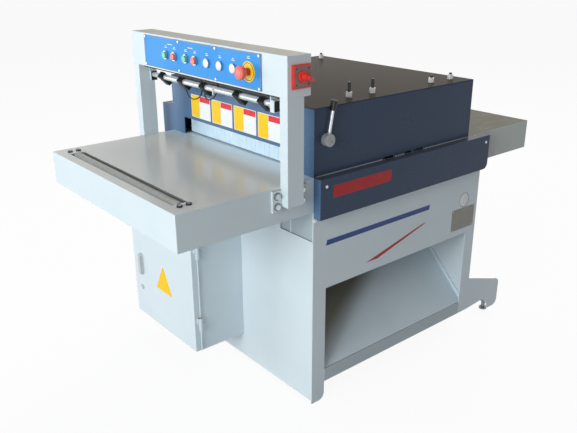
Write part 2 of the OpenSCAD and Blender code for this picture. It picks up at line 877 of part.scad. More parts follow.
module sweep(p, r) {
    ns = normals(p, 0, [0, 0, 1]);
    m = lead_sides;
    last = len(p) - 1;
    points = [for (i = [0 : last]) each ring(p[i], ns[i], cross(tangent(p, i), ns[i]), r)];
    walls = [for (i = [0 : last - 1]) for (k = [0 : m - 1])
        for (f = [[i * m + k, (i + 1) * m + k, (i + 1) * m + (k + 1) % m],
            [i * m + k, (i + 1) * m + (k + 1) % m, i * m + (k + 1) % m]]) f];
    caps = [for (k = [1 : m - 2]) for (f = [[0, k, k + 1], [last * m, last * m + k + 1,
        last * m + k]]) f];
    polyhedron(points, concat(walls, caps));
}

module laser_lead_2() {
    color(black) translate([laser_shares[1] * half_w, rod_y, rod_z]) sweep(lead_route_2, lead_d / 2);
}

module laser_lead_3() {
    color(black) translate([laser_shares[2] * half_w, rod_y, rod_z]) sweep(lead_route_3, lead_d / 2);
}

// Hood
hood_z = table_h + hood_h;
hood_back = base_y + hood_l;
hood_in = half_w - guard_t;
mouth_z = table_h + mouth_h;
slot_shares = [[0.404, 0.469], [0.543, 0.589], [0.613, 0.668]];
hood_wall_z = hood_z - guard_t;
finger_y = base_y + finger_set;
finger_z = table_h + finger_h;

module hood_end_outline() {
    difference() {
        translate([-hood_in, table_h]) square([2 * hood_in, hood_wall_z - table_h]);
        translate([-mouth_w / 2, table_h - overrun]) square([mouth_w, mouth_h + overrun]);
    }
}

module hood_side_outline() {
    difference() {
        translate([base_y, table_h]) square([hood_l, hood_wall_z - table_h]);
        for (ends = slot_shares)
            translate([base_y + ends[0] * hood_l, table_h - overrun])
                square([(ends[1] - ends[0]) * hood_l, hood_gap + overrun]);
        translate([finger_y, finger_z]) circle(finger_shaft_r + fit_gap);
    }
}

module hood_walls() {
    color(navy_paint) {
        plate_xz(base_y, base_y + guard_t) hood_end_outline();
        plate_xz(hood_back - guard_t, hood_back) hood_end_outline();
        both_sides() plate_yz(hood_in, half_w) hood_side_outline();
    }
}

module hood_top() {
    color(navy_paint) difference() {
        slab([-half_w, base_y, hood_wall_z], [half_w, hood_back, hood_z]);
        for (x = [-stud_x, stud_x])
            for (y = press_y) bar_z(stud_r + free_gap, hood_wall_z - overrun, hood_z + overrun, x, y);
    }
}

// Right-hand side cover and left-hand drive guard
cover_short = 4;
cover_back = back_y - cover_short;
cover_r = 22;
guard_low = 120;
guard_drop = 170;
guard_waist = table_h - guard_drop;
guard_wing = 120;
guard_rear_wing = 190;

module cover_outline(inset) {
    difference() {
        translate([base_y + inset, table_h - cover_h + inset])
            square([cover_back - base_y - 2 * inset, cover_h - 2 * inset]);
        translate([cover_back - cover_r, table_h - cover_h]) square([cover_r, cover_r]);
    }
    translate([cover_back - cover_r, table_h - cover_h + cover_r]) circle(cover_r - inset);
}

module side_cover() {
    color(navy_paint) difference() {
        plate_yz(half_w, half_w + cover_d) cover_outline(0);
        plate_yz(half_w - overrun, half_w + cover_d - guard_t) cover_outline(guard_t);
    }
}

module guard_outline(inset) {
    translate([base_y + inset, guard_waist + inset])
        square([cover_back - base_y - 2 * inset, table_h + guard_top - guard_waist - 2 * inset]);
    translate([gearmotor_y - guard_wing + inset, guard_low + inset])
        square([arbor_y - gearmotor_y + guard_wing + guard_rear_wing - 2 * inset,
            guard_waist - guard_low]);
}

module drive_guard() {
    color(navy_paint) difference() {
        plate_yz(-half_w - guard_d, -half_w) guard_outline(0);
        plate_yz(-half_w - guard_d + guard_t, -half_w + overrun) guard_outline(guard_t);
    }
}

// Electrical cabinet with a hinged door
cabinet_gap = 4;
cabinet_top = table_h - skirt_h - cabinet_gap;
cabinet_share = 0.53;
cabinet_w = machine_w * cabinet_share;
cabinet_x = half_w + cabinet_lap;
cabinet_y = base_y - cabinet_d;
cabinet_right = cabinet_w - cabinet_x;
door_gap = 1;
door_margin = 2;
door_back = cabinet_y - door_gap;
gear_z = cabinet_low + (cabinet_top - cabinet_low) * gear_z_share;
gland_x = -cabinet_x + cabinet_w * gland_share;
gland_y = base_y - cabinet_d / 2;
hinge_r = 7.5;
hinge_pin_r = 3;
hinge_l = 26;
hinge_leaf_t = 2;
hinge_leaf_w = 20;
hinge_x = cabinet_right + hinge_r;
hinge_y = cabinet_y - door_gap / 2;
hinge_shares = [0.14, 0.61];
hinge_zs = [for (share = hinge_shares) cabinet_low + share * (cabinet_top - cabinet_low)];
cabinet_lip = 16;

module cabinet_box() {
    color(white_paint) difference() {
        slab([-cabinet_x, cabinet_y, cabinet_low], [cabinet_right, base_y, cabinet_top]);
        slab([-cabinet_x + guard_t, cabinet_y + guard_t, cabinet_low + guard_t],
            [cabinet_right - guard_t, base_y - guard_t, cabinet_top - guard_t]);
        slab([-cabinet_x + cabinet_lip, cabinet_y - overrun, cabinet_low + cabinet_lip],
            [cabinet_right - cabinet_lip, cabinet_y + guard_t + overrun, cabinet_top - cabinet_lip]);
        bar_z(gland_bore_r, cabinet_low - overrun, cabinet_low + guard_t + overrun, gland_x, gland_y);
    }
}

module cabinet_hinges() {
    color(white_paint) for (z = hinge_zs) {
        bar_z(hinge_r, z, z + hinge_l, hinge_x, hinge_y);
        bar_z(hinge_pin_r, z, z + 2 * hinge_l, hinge_x, hinge_y);
        slab([cabinet_right, cabinet_y, z], [cabinet_right + hinge_leaf_t, cabinet_y + hinge_leaf_w,
            z + hinge_l]);
        slab([cabinet_right, cabinet_y, z], [hinge_x, hinge_y + hinge_r, z + hinge_l]);
    }
}

module cabinet_door() {
    color(white_paint) difference() {
        union() {
            difference() {
                slab([-cabinet_x, door_back - door_d, cabinet_low + door_margin],
                    [cabinet_right, door_back, cabinet_top - door_margin]);
                slab([-cabinet_x + guard_t, door_back - door_d + guard_t,
                    cabinet_low + door_margin + guard_t],
                    [cabinet_right - guard_t, door_back + overrun, cabinet_top - door_margin - guard_t]);
            }
            for (z = hinge_zs) {
                bar_z(hinge_r, z + hinge_l + seat_gap, z + 2 * hinge_l, hinge_x, hinge_y);
                slab([cabinet_right, door_back - hinge_leaf_w / 2, z + hinge_l + seat_gap],
                    [hinge_x, door_back, z + 2 * hinge_l]);
            }
        }
        for (z = hinge_zs) bar_z(hinge_pin_r + fit_gap, z, z + 2 * hinge_l + overrun, hinge_x, hinge_y);
        bar_y(latch_pin_r + fit_gap, door_back - door_d - overrun, door_back + overrun, latch_x, latch_z);
    }
}

// Door latch: a round-ended handle on a pin with a cam behind the door skin
latch_edge = 58;
latch_x = -cabinet_x + latch_edge;
latch_share = 0.43;
latch_z = cabinet_low + latch_share * (cabinet_top - cabinet_low);
latch_pin_r = 6;
latch_w = 26;
latch_l = 66;
latch_t = 7;
latch_grip_t = 6;
latch_grip_share = 0.62;
latch_cam_l = 34;
latch_cam_t = 4;
door_skin_y = door_back - door_d;

module latch_outline(w) {
    for (end = [0, latch_l]) translate([latch_x, latch_z - end]) circle(w / 2);
    translate([latch_x - w / 2, latch_z - latch_l]) square([w, latch_l]);
}

module door_handle() {
    color(chrome) {
        plate_xz(door_skin_y - latch_t, door_skin_y - seat_gap) latch_outline(latch_w);
        plate_xz(door_skin_y - latch_t - latch_grip_t, door_skin_y - latch_t)
            latch_outline(latch_w * latch_grip_share);
        bar_y(latch_pin_r, door_skin_y - latch_t, door_skin_y + guard_t + seat_gap + latch_cam_t,
            latch_x, latch_z);
        slab([latch_x - latch_w / 2, door_skin_y + guard_t + seat_gap, latch_z - latch_cam_l],
            [latch_x + latch_w / 2, door_skin_y + guard_t + seat_gap + latch_cam_t,
                latch_z + latch_pin_r]);
    }
}

// Motors, with bores for the shafts of their pulleys
motor_set = 24;
motor_x = -inner_w + motor_set;
motor_l = 300;
motor_foot_w = 180;
motor_foot_l = 200;
motor_bore_l = 40;
gearbox_set = 8;
gearbox_x = -inner_w + gearbox_set;
gearbox_l = 130;
gearbox_w = 124;
gearmotor_l = 150;

module drive_motors() {
    color("#55606A") {
        difference() {
            union() {
                bar_x(motor_r, motor_x, motor_x + motor_l, arbor_y, motor_h);
                slab([motor_x + (motor_l - motor_foot_l) / 2, arbor_y - motor_foot_w / 2,
                    shelf_h + shelf_t],
                    [motor_x + (motor_l + motor_foot_l) / 2, arbor_y + motor_foot_w / 2, motor_h]);
            }
            bar_x(motor_shaft_r + fit_gap, motor_x - overrun, motor_x + motor_bore_l, arbor_y, motor_h);
        }
        difference() {
            union() {
                slab([gearbox_x, gearmotor_y - gearbox_w / 2, gearmotor_h - gearbox_w / 2],
                    [gearbox_x + gearbox_l, gearmotor_y + gearbox_w / 2, gearmotor_h + gearbox_w / 2]);
                bar_x(gearmotor_r, gearbox_x + gearbox_l, gearbox_x + gearbox_l + gearmotor_l,
                    gearmotor_y, gearmotor_h);
            }
            bar_x(gear_shaft_r + fit_gap, gearbox_x - overrun, gearbox_x + motor_bore_l, gearmotor_y,
                gearmotor_h);
        }
    }
}

// Belts: two saw belts in grooves and one wide feed belt
pulley_set = 70;
pulley_x = -half_w - pulley_set;
groove_w = 11;
groove_land = 4;
groove_d = 8;
belt_t = 7;
belt_side = 0.5;
groove_xs = [for (i = [0, 1]) pulley_x + groove_land + i * (groove_w + groove_land)];
pulley_l = groove_xs[1] + groove_w + groove_land - pulley_x;
feed_belt_set = 26;
feed_belt_x = -half_w - feed_belt_set;
feed_belt_w = 12;
flange_w = 2;
flange_h = 9;

function spot(c, r, a) = [c[0] + r * cos(a), c[1] + r * sin(a)];

// Outline of a belt around pulleys listed anticlockwise
full_turn = 360;
arc_steps = 14;
function edge_normal(c1, r1, c2, r2) =
    atan2(c2[1] - c1[1], c2[0] - c1[0]) - acos((r1 - r2) / norm(c2 - c1));
function turn(a) = a - full_turn * floor(a / full_turn);
function arc(c, r, a0, a1) =
    let (step = turn(a1 - a0) / arc_steps)
    [for (k = [0 : arc_steps - 1]) spot(c, r / cos(step / 2), a0 + step * (k + 1 / 2))];
function belt_points(cs, rs, add) =
    let (n = len(cs))
    [for (i = [0 : n - 1])
        let (p = (i + n - 1) % n, q = (i + 1) % n)
        each arc(cs[i], rs[i] + add, edge_normal(cs[p], rs[p], cs[i], rs[i]),
            edge_normal(cs[i], rs[i], cs[q], rs[q]))];

module belt_outline(cs, rs) {
    difference() {
        polygon(belt_points(cs, rs, seat_gap + belt_t));
        polygon(belt_points(cs, rs, seat_gap));
    }
}

saw_centres = [[arbor_y, arbor_z], [arbor_y, motor_h]];
saw_radii = [arbor_pulley_r, motor_pulley_r];
feed_centres = [[feed_y[0], feed_z], [gearmotor_y, gearmotor_h], [feed_y[1], feed_z]];
feed_radii = [feed_pulley_r, feed_pulley_r, feed_pulley_r];

module drive_belts() {
    color(black) {
        for (x = groove_xs)
            plate_yz(x + belt_side, x + groove_w - belt_side) belt_outline(saw_centres, saw_radii);
        plate_yz(feed_belt_x, feed_belt_x + feed_belt_w) belt_outline(feed_centres, feed_radii);
    }
}

module grooved_pulley(r, y, z) {
    bar_x(r, pulley_x, pulley_x + pulley_l, y, z);
    for (x = [pulley_x, groove_xs[0] + groove_w, groove_xs[1] + groove_w])
        bar_x(r + groove_d, x, x + groove_land, y, z);
}

module flanged_pulley(y, z) {
    bar_x(feed_pulley_r, feed_belt_x - flange_w - belt_side,
        feed_belt_x + feed_belt_w + flange_w + belt_side, y, z);
    for (x = [feed_belt_x - flange_w - belt_side, feed_belt_x + feed_belt_w + belt_side])
        bar_x(feed_pulley_r + flange_h, x, x + flange_w, y, z);
}

// Bearing housings on the walls, and the blocks of the idler roller
bearing_r = 48;
bearing_l = 34;
feed_bearing_r = 30;
feed_bearing_l = 22;
wall_face = wall_x + wall_t / 2;

module bearing_units() {
    color("#6E777C") {
        both_sides() {
            difference() {
                bar_x(bearing_r, wall_face, wall_face + bearing_l, arbor_y, arbor_z);
                bar_x(arbor_r + fit_gap, wall_face - overrun, wall_face + bearing_l + overrun, arbor_y,
                    arbor_z);
            }
            for (y = feed_y) intersection() {
                difference() {
                    bar_x(feed_bearing_r, wall_face, wall_face + feed_bearing_l, y, feed_z);
                    bar_x(journal_r + fit_gap, wall_face - overrun,
                        wall_face + feed_bearing_l + overrun, y, feed_z);
                }
                slab([0, y - feed_bearing_r * 2, 0], [half_w, y + feed_bearing_r * 2, base_h - free_gap]);
            }
            difference() {
                slab([idler_block_x, idler_y - idler_block_w / 2, idler_z - idler_block_low],
                    [idler_block_x + idler_block_l, idler_y + idler_block_w / 2, table_h - table_t]);
                bar_x(idler_pin_r + fit_gap, idler_block_x - overrun,
                    idler_block_x + idler_block_l / 2 - idler_bolt_r,
                    idler_y, idler_z);
                for (end = [-1, 1])
                    bar_z(idler_bolt_r, idler_z, table_h, idler_block_x + idler_block_l / 2,
                        idler_y + end * idler_bolt_share * idler_block_w);
            }
        }
    }
}

module idler_roller() {
    color(chrome) {
        bar_x(idler_r, -idler_l / 2, idler_l / 2, idler_y, idler_z);
        bar_x(idler_pin_r, -idler_block_x - idler_block_l / 4, idler_block_x + idler_block_l / 4,
            idler_y, idler_z);
    }
}

module feed_roller(y) {
    color(steel) {
        bar_x(feed_r, -feed_l / 2, feed_l / 2, y, feed_z);
        bar_x(journal_r, feed_belt_x, wall_face + feed_bearing_l, y, feed_z);
        flanged_pulley(y, feed_z);
    }
}

module feed_roller_front() { feed_roller(feed_y[0]); }
module feed_roller_rear() { feed_roller(feed_y[1]); }

module gearmotor_pulley() {
    color(steel) {
        bar_x(gear_shaft_r, feed_belt_x, gearbox_x + motor_bore_l - free_gap, gearmotor_y, gearmotor_h);
        flanged_pulley(gearmotor_y, gearmotor_h);
    }
}

// Saw arbor with spacers, nut and pulley
spacer_r = 40;
nut_r = 34;
nut_l = 24;

module saw_arbor() {
    color(steel) {
        bar_x(arbor_r, pulley_x, wall_face + bearing_l + nut_l, arbor_y, arbor_z);
        grooved_pulley(arbor_pulley_r, arbor_y, arbor_z);
        for (i = [0 : blade_count])
            bar_x(spacer_r,
                i == 0 ? blade_xs[0] - blade_pitch / 2 + wall_t : blade_xs[i - 1] + blade_t / 2,
                i == blade_count ? blade_xs[i - 1] + blade_pitch / 2 - wall_t : blade_xs[i] - blade_t / 2,
                arbor_y, arbor_z);
        bar_x(nut_r, wall_face + bearing_l + seat_gap, wall_face + bearing_l + nut_l, arbor_y, arbor_z);
    }
}

tooth_count = 24;
tooth_share = 0.93;
tooth_lean = 4;

module blade_outline() {
    difference() {
        polygon([for (i = [0 : tooth_count - 1]) for (p = [[blade_r, 0], [blade_r * tooth_share,
            tooth_lean]])
            spot([0, 0], p[0], full_turn * i / tooth_count - p[1])]);
        circle(arbor_r + fit_gap);
    }
}

module saw_blades() {
    color(steel) for (x = blade_xs)
        plate_yz(x - blade_t / 2, x + blade_t / 2) translate([arbor_y, arbor_z]) blade_outline();
}

module motor_pulley() {
    color(steel) {
        bar_x(motor_shaft_r, pulley_x, motor_x + motor_bore_l - free_gap, arbor_y, motor_h);
        grooved_pulley(motor_pulley_r, arbor_y, motor_h);
    }
}

// Pressure carriages: a yoke on each side, hung from studs through the hood top
press_z = table_h + press_gap + press_r;
yoke_t = 30;
yoke_end = 34;
yoke_low = 22;
yoke_high = 34;
tie_r = 14;
nut_af_r = 10.5;
nut_h = 16;
press_pin_r = 12;
stud_over = [31, 30, 9, 6];

module pressure_carriage(first) {
    y0 = press_y[first];
    y1 = press_y[first + 1];
    color("#C4C8CA") {
        difference() {
            both_sides() slab([stud_x - yoke_t / 2, y0 - yoke_end, press_z - yoke_low],
                [stud_x + yoke_t / 2, y1 + yoke_end, press_z + yoke_high]);
            for (y = [y0, y1])
                bar_x(press_pin_r + fit_gap, -stud_x - yoke_t / 6, stud_x + yoke_t / 6, y, press_z);
        }
        bar_x(tie_r, -stud_x, stud_x, (y0 + y1) / 2, press_z + yoke_high - tie_r);
        both_sides() for (i = [first, first + 1]) {
            bar_z(stud_r, press_z + yoke_high, hood_z + nut_h + stud_over[i], stud_x, press_y[i]);
            translate([stud_x, press_y[i], hood_z]) cylinder(r = nut_af_r, h = nut_h, $fn = 6);
        }
    }
}

module pressure_carriage_front() { pressure_carriage(0); }
module pressure_carriage_rear() { pressure_carriage(2); }

press_end_gap = 5;

module pressure_roller(i) {
    color("#8C9296") {
        bar_x(press_r, -stud_x + yoke_t / 2 + press_end_gap, stud_x - yoke_t / 2 - press_end_gap,
            press_y[i], press_z);
        bar_x(press_pin_r, -stud_x - yoke_t / 6 + free_gap, stud_x + yoke_t / 6 - free_gap, press_y[i],
            press_z);
    }
}

module pressure_roller_1() { pressure_roller(0); }
module pressure_roller_2() { pressure_roller(1); }
module pressure_roller_3() { pressure_roller(2); }
module pressure_roller_4() { pressure_roller(3); }

// Kickback fingers on a shaft that the lever turns
finger_pitch = mouth_w / finger_count;
finger_gap = 0.8;
finger_ring_r = 17;
finger_tip_w = 9;

module finger_outline() {
    difference() {
        union() {
            circle(finger_ring_r);
            polygon([[-finger_ring_r, 0], [-finger_ring_r, -finger_l], [finger_tip_w - finger_ring_r,
                -finger_l],
                [finger_ring_r, 0]]);
        }
        circle(finger_shaft_r + fit_gap);
    }
}

module kickback_fingers() {
    color("#B4C0C6") {
        for (i = [0 : finger_count - 1])
            plate_yz((i - finger_count / 2) * finger_pitch + finger_gap / 2,
                (i + 1 - finger_count / 2) * finger_pitch - finger_gap / 2)
                translate([finger_y, finger_z]) finger_outline();
        bar_x(finger_shaft_r, -half_w, half_w + lever_hub_l / 2, finger_y, finger_z);
    }
}

lever_hub_l = 21;
lever_rod_r = 4.5;
lever_lean = 11;
lever_cap_r = 9;
lever_cap_t = 2;
knob_r = 12;
knob_foot_r = 8.5;
knob_l = 31;
knob_round = 3;
knob_grip = 15;
lever_x = half_w + seat_gap + lever_hub_l / 2;

module on_lever() {
    translate([lever_x, finger_y, finger_z]) rotate([-lever_lean, 0, 0]) children();
}

module lift_lever() {
    color(chrome) {
        difference() {
            union() {
                bar_x(lever_hub_r, half_w + seat_gap, half_w + seat_gap + lever_hub_l, finger_y,
                    finger_z);
                on_lever() cylinder(r = lever_rod_r, h = lever_l + knob_grip);
                bar_x(lever_cap_r, half_w + seat_gap, half_w + seat_gap + lever_hub_l + lever_cap_t,
                    finger_y, finger_z);
            }
            bar_x(finger_shaft_r + fit_gap, half_w, half_w + lever_hub_l / 2 + free_gap, finger_y,
                finger_z);
        }
    }
}

module lever_knob() {
    color(black) on_lever() difference() {
        translate([0, 0, lever_l]) rotate_extrude()
            polygon([[0, 0], [knob_foot_r, 0], [knob_r, knob_l - knob_round], [knob_r - knob_round,
                knob_l],
                [0, knob_l]]);
        translate([0, 0, lever_l - overrun]) cylinder(r = lever_rod_r + fit_gap,
            h = knob_grip + overrun + fit_gap);
    }
}

base_sides();
base_ends();
inner_frame();
chip_chute();
levelling_feet();
bed_plate();
infeed_table();
outfeed_table();
gantry_posts();
gantry_beam();
brackets();
fasteners();
control_panel();
button_bezels();
switchgear();
indicator_lamps();
stop_collar();
isolator_plate();
laser_rod();
hood_walls();
hood_top();
side_cover();
drive_guard();
cabinet_box();
cabinet_hinges();
drive_motors();
drive_belts();
bearing_units();
idler_roller();
feed_roller_front();
feed_roller_rear();
gearmotor_pulley();
saw_arbor();
saw_blades();
motor_pulley();
pressure_carriage_front();
pressure_carriage_rear();
pressure_roller_1();
pressure_roller_2();
pressure_roller_3();
pressure_roller_4();
kickback_fingers();
lift_lever();
lever_knob();
saw_start_button();
saw_stop_button();
feed_start_button();
feed_stop_button();
stop_stem();
stop_head();
isolator_handle();
laser_1();
laser_2();
laser_3();
laser_4();
laser_5();
laser_lead_2();
laser_lead_3();
cabinet_door();
door_handle();
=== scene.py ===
"""Looks of a multi rip saw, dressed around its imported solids.

Lengths in the sub-assemblies are millimetres in the row frame: +X to the operator's
right, +Y along the feed, +Z up. Meshes are made in metres.
"""

import logging
import math
from collections.abc import Sequence
from dataclasses import dataclass, field
from enum import Enum, IntEnum

import bmesh
import bpy
from mathutils import Matrix, Vector


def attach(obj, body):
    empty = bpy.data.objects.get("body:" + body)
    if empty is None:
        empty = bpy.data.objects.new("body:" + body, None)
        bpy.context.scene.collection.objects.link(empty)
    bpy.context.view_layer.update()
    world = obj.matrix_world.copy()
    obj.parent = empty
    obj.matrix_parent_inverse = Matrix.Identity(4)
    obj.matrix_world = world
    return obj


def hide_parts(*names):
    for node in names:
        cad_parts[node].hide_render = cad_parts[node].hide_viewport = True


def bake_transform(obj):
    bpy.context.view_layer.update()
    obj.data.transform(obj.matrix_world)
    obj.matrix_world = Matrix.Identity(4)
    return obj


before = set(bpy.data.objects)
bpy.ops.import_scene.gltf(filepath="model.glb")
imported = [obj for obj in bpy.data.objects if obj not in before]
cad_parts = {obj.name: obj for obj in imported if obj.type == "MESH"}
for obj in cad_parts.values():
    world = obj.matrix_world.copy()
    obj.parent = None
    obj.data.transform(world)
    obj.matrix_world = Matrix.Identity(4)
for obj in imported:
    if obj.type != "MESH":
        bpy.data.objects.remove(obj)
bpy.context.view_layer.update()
MM = 0.001
PHOTO_W = 577
log = logging.getLogger("multi_rip_saw")

Point2 = tuple[float, float]
Point3 = tuple[float, float, float]
Outline = Sequence[Point2]


def linear(colour: str) -> tuple[float, float, float, float]:
    """Turns an sRGB hex colour into linear values.

    Args:
        colour: six hex digits after a hash sign.

    Returns:
        Linear red, green, blue and a full alpha.
    """
    shares = [int(colour[i:i + 2], 16) / 255 for i in (1, 3, 5)]
    red, green, blue = (c / 12.92 if c <= 0.04045 else ((c + 0.055) / 1.055) ** 2.4 for c in shares)
    return red, green, blue, 1.0


def add_node(
    tree: bpy.types.NodeTree, kind: str, inputs: dict | None = None, **settings: object
) -> bpy.types.Node:
    """Adds one node with its settings, values and links.

    Args:
        tree: the node tree that takes it.
        kind: the node's type name.
        inputs: socket name or index to a value, or to an output socket that feeds it.
        settings: the node's own properties.

    Returns:
        The new node.
    """
    node = tree.nodes.new(kind)
    for name, value in settings.items():
        setattr(node, name, value)
    for key, value in (inputs or {}).items():
        if isinstance(value, bpy.types.NodeSocket):
            tree.links.new(value, node.inputs[key])
        else:
            node.inputs[key].default_value = value
    return node


def blank(name: str) -> tuple[bpy.types.Material, bpy.types.NodeTree, bpy.types.Node]:
    """Makes a material with only an output and a shader.

    Args:
        name: the material's name.

    Returns:
        The material, its tree and its shader node.
    """
    material = bpy.data.materials.new(name)
    material.use_nodes = True
    tree = material.node_tree
    tree.nodes.clear()
    shader = add_node(tree, "ShaderNodeBsdfPrincipled")
    add_node(tree, "ShaderNodeOutputMaterial", {"Surface": shader.outputs["BSDF"]})
    return material, tree, shader


def per_metre(size_mm: float) -> float:
    """A texture scale whose features are about size_mm across."""
    return 1.0 / (size_mm * MM)


@dataclass(frozen=True)
class PowderCoat:
    """Powder-coated sheet steel, baked in an oven: a faint orange peel and a soft gloss.

    What faces up can show something else: settled dust, or the bare ground top of a table. What faces
    the front can carry painted front light, a paler tone standing in for light, and what lies above a
    leaning edge can carry a painted band.
    """

    name: str
    colour: str
    shade: str
    roughness: float = 0.42
    peel_mm: float = 2.2
    peel_height: float = 0.05
    top_colour: str = "#B9B0A2"
    top_share: float = 0.7
    top_roughness: float = 0.5
    top_streak: float = 0.1
    painted_front_light: str = ""
    front_share: float = 0.85
    painted_band_colour: str = ""
    painted_band_mm: Point2 = (0.0, 1.0)
    painted_band_share: float = 0.95
    painted_band_lean: float = 0.4
    specular: float = 0.5
    cloud_mm: float = 160.0
    rub_mm: float = 34.0
    rub_share: float = 0.25
    streak_mm: float = 26.0
    peel_deep_mm: float = 0.3
    gloss_spread: Point2 = (0.05, 0.07)
    streak_spread: Point2 = (0.3, 0.4)

    def paint(
        self, tree: bpy.types.NodeTree, where: bpy.types.Node, clouds: bpy.types.NodeSocket,
        normal: bpy.types.Node,
    ) -> bpy.types.NodeSocket:
        """Makes the coat's own colour, with its rubs and its painted front light.

        Args:
            tree: the material's tree.
            where: its texture coordinates.
            clouds: the coat's broad cloudiness.
            normal: the parts of the surface's direction.

        Returns:
            The colour.
        """
        # Handling marks: short rubs, drawn coarser than real so that they show.
        rub_place = add_node(tree, "ShaderNodeMapping", {
            "Vector": where.outputs["Object"], "Scale": (1.0, 0.35, 1.6), "Rotation": (0.5, 0.3, 0.2)})
        rubs = add_node(tree, "ShaderNodeTexNoise", {
            "Vector": rub_place.outputs["Vector"], "Scale": per_metre(self.rub_mm), "Detail": 6.0,
            "Roughness": 0.7})
        worn = add_node(tree, "ShaderNodeMapRange", {
            "Value": rubs.outputs["Fac"], "From Min": 0.6, "From Max": 0.78, "To Max": self.rub_share})
        fresh = add_node(tree, "ShaderNodeMix", {
            "Factor": clouds, "A": linear(self.colour), "B": linear(self.shade)}, data_type="RGBA")
        rubbed = add_node(tree, "ShaderNodeMix", {
            "Factor": worn.outputs["Result"], "A": fresh.outputs["Result"], "B": linear(self.shade)},
            data_type="RGBA")
        if not self.painted_front_light:
            return rubbed.outputs["Result"]
        # Painted front light: faces that look to the front are mixed towards a paler colour, standing in for
        # the light that falls on them.
        ahead = add_node(tree, "ShaderNodeMapRange", {
            "Value": normal.outputs["Y"], "From Min": -0.95, "From Max": -0.6,
            "To Min": self.front_share, "To Max": 0.0})
        front_lit = add_node(tree, "ShaderNodeMix", {
            "Factor": ahead.outputs["Result"], "A": rubbed.outputs["Result"],
            "B": linear(self.painted_front_light)}, data_type="RGBA")
        return front_lit.outputs["Result"]

    def painted_band(
        self, tree: bpy.types.NodeTree, where: bpy.types.Node, colour: bpy.types.NodeSocket
    ) -> bpy.types.NodeSocket:
        """Lays a painted tone above a leaning edge: painted shade with some dust in a deep corner, or a
        painted reflection on a top.

        Args:
            tree: the material's tree.
            where: its texture coordinates.
            colour: the colour below the edge.

        Returns:
            The colour with the painted tone, if the coat has one.
        """
        if not self.painted_band_colour:
            return colour
        # Painted band: above a leaning level the colour is mixed towards a second tone, painted shade in one
        # coat and a painted reflection in another.
        place = add_node(tree, "ShaderNodeSeparateXYZ", {"Vector": where.outputs["Object"]})
        level = add_node(tree, "ShaderNodeMath", {
            0: place.outputs["Y"], 1: -self.painted_band_lean, 2: place.outputs["Z"]}, operation="MULTIPLY_ADD")
        band = add_node(tree, "ShaderNodeMapRange", {
            "Value": level.outputs["Value"], "From Min": self.painted_band_mm[0] * MM,
            "From Max": self.painted_band_mm[1] * MM, "To Max": self.painted_band_share}, interpolation_type="SMOOTHSTEP")
        mixed = add_node(tree, "ShaderNodeMix", {
            "Factor": band.outputs["Result"], "A": colour, "B": linear(self.painted_band_colour)}, data_type="RGBA")
        return mixed.outputs["Result"]

    def build(self) -> bpy.types.Material:
        """Makes the material.

        Returns:
            The material.
        """
        material, tree, shader = blank(self.name)
        where = add_node(tree, "ShaderNodeTexCoord")
        at = where.outputs["Object"]
        normal = add_node(tree, "ShaderNodeSeparateXYZ", {"Vector": where.outputs["Normal"]})
        # Broad cloudiness of the coat, a hand's breadth across.
        clouds = add_node(tree, "ShaderNodeTexNoise", {
            "Vector": at, "Scale": per_metre(self.cloud_mm), "Detail": 4.0, "Roughness": 0.55})
        # Faces that look up collect dust, or are the bare top of a table.
        facing = add_node(tree, "ShaderNodeMapRange", {
            "Value": normal.outputs["Z"], "From Min": 0.7, "From Max": 0.95, "To Max": self.top_share})
        streak_place = add_node(tree, "ShaderNodeMapping", {"Vector": at, "Scale": (1.0, 0.25, 1.0)})
        streaks = add_node(tree, "ShaderNodeTexNoise", {
            "Vector": streak_place.outputs["Vector"], "Scale": per_metre(self.streak_mm), "Detail": 4.0})
        patchy = add_node(tree, "ShaderNodeMapRange", {
            "Value": streaks.outputs["Fac"], "From Min": 0.2, "From Max": 0.8,
            "To Min": 1.0 - self.top_streak})
        cover = add_node(tree, "ShaderNodeMath", {
            0: facing.outputs["Result"], 1: patchy.outputs["Result"]}, operation="MULTIPLY")
        topped = add_node(tree, "ShaderNodeMix", {
            "Factor": cover.outputs["Value"], "A": self.paint(tree, where, clouds.outputs["Fac"], normal),
            "B": linear(self.top_colour)}, data_type="RGBA")
        gloss = add_node(tree, "ShaderNodeMapRange", {
            "Value": clouds.outputs["Fac"], "From Min": 0.3, "From Max": 0.7,
            "To Min": self.roughness - self.gloss_spread[0],
            "To Max": self.roughness + self.gloss_spread[1]})
        top_gloss = add_node(tree, "ShaderNodeMapRange", {
            "Value": streaks.outputs["Fac"], "From Min": 0.3, "From Max": 0.7,
            "To Min": self.top_roughness - self.streak_spread[0] * self.top_streak,
            "To Max": self.top_roughness + self.streak_spread[1] * self.top_streak})
        rough = add_node(tree, "ShaderNodeMix", {
            "Factor": cover.outputs["Value"], "A": gloss.outputs["Result"],
            "B": top_gloss.outputs["Result"]}, data_type="FLOAT")
        peel = add_node(tree, "ShaderNodeTexNoise", {
            "Vector": at, "Scale": per_metre(self.peel_mm), "Detail": 2.0})
        bump = add_node(tree, "ShaderNodeBump", {
            "Strength": self.peel_height, "Distance": self.peel_deep_mm * MM,
            "Height": peel.outputs["Fac"]})
        colour = self.painted_band(tree, where, topped.outputs["Result"])
        tree.links.new(colour, shader.inputs["Base Color"])
        tree.links.new(rough.outputs["Result"], shader.inputs["Roughness"])
        tree.links.new(bump.outputs["Normal"], shader.inputs["Normal"])
        shader.inputs["Specular IOR Level"].default_value = self.specular
        return material


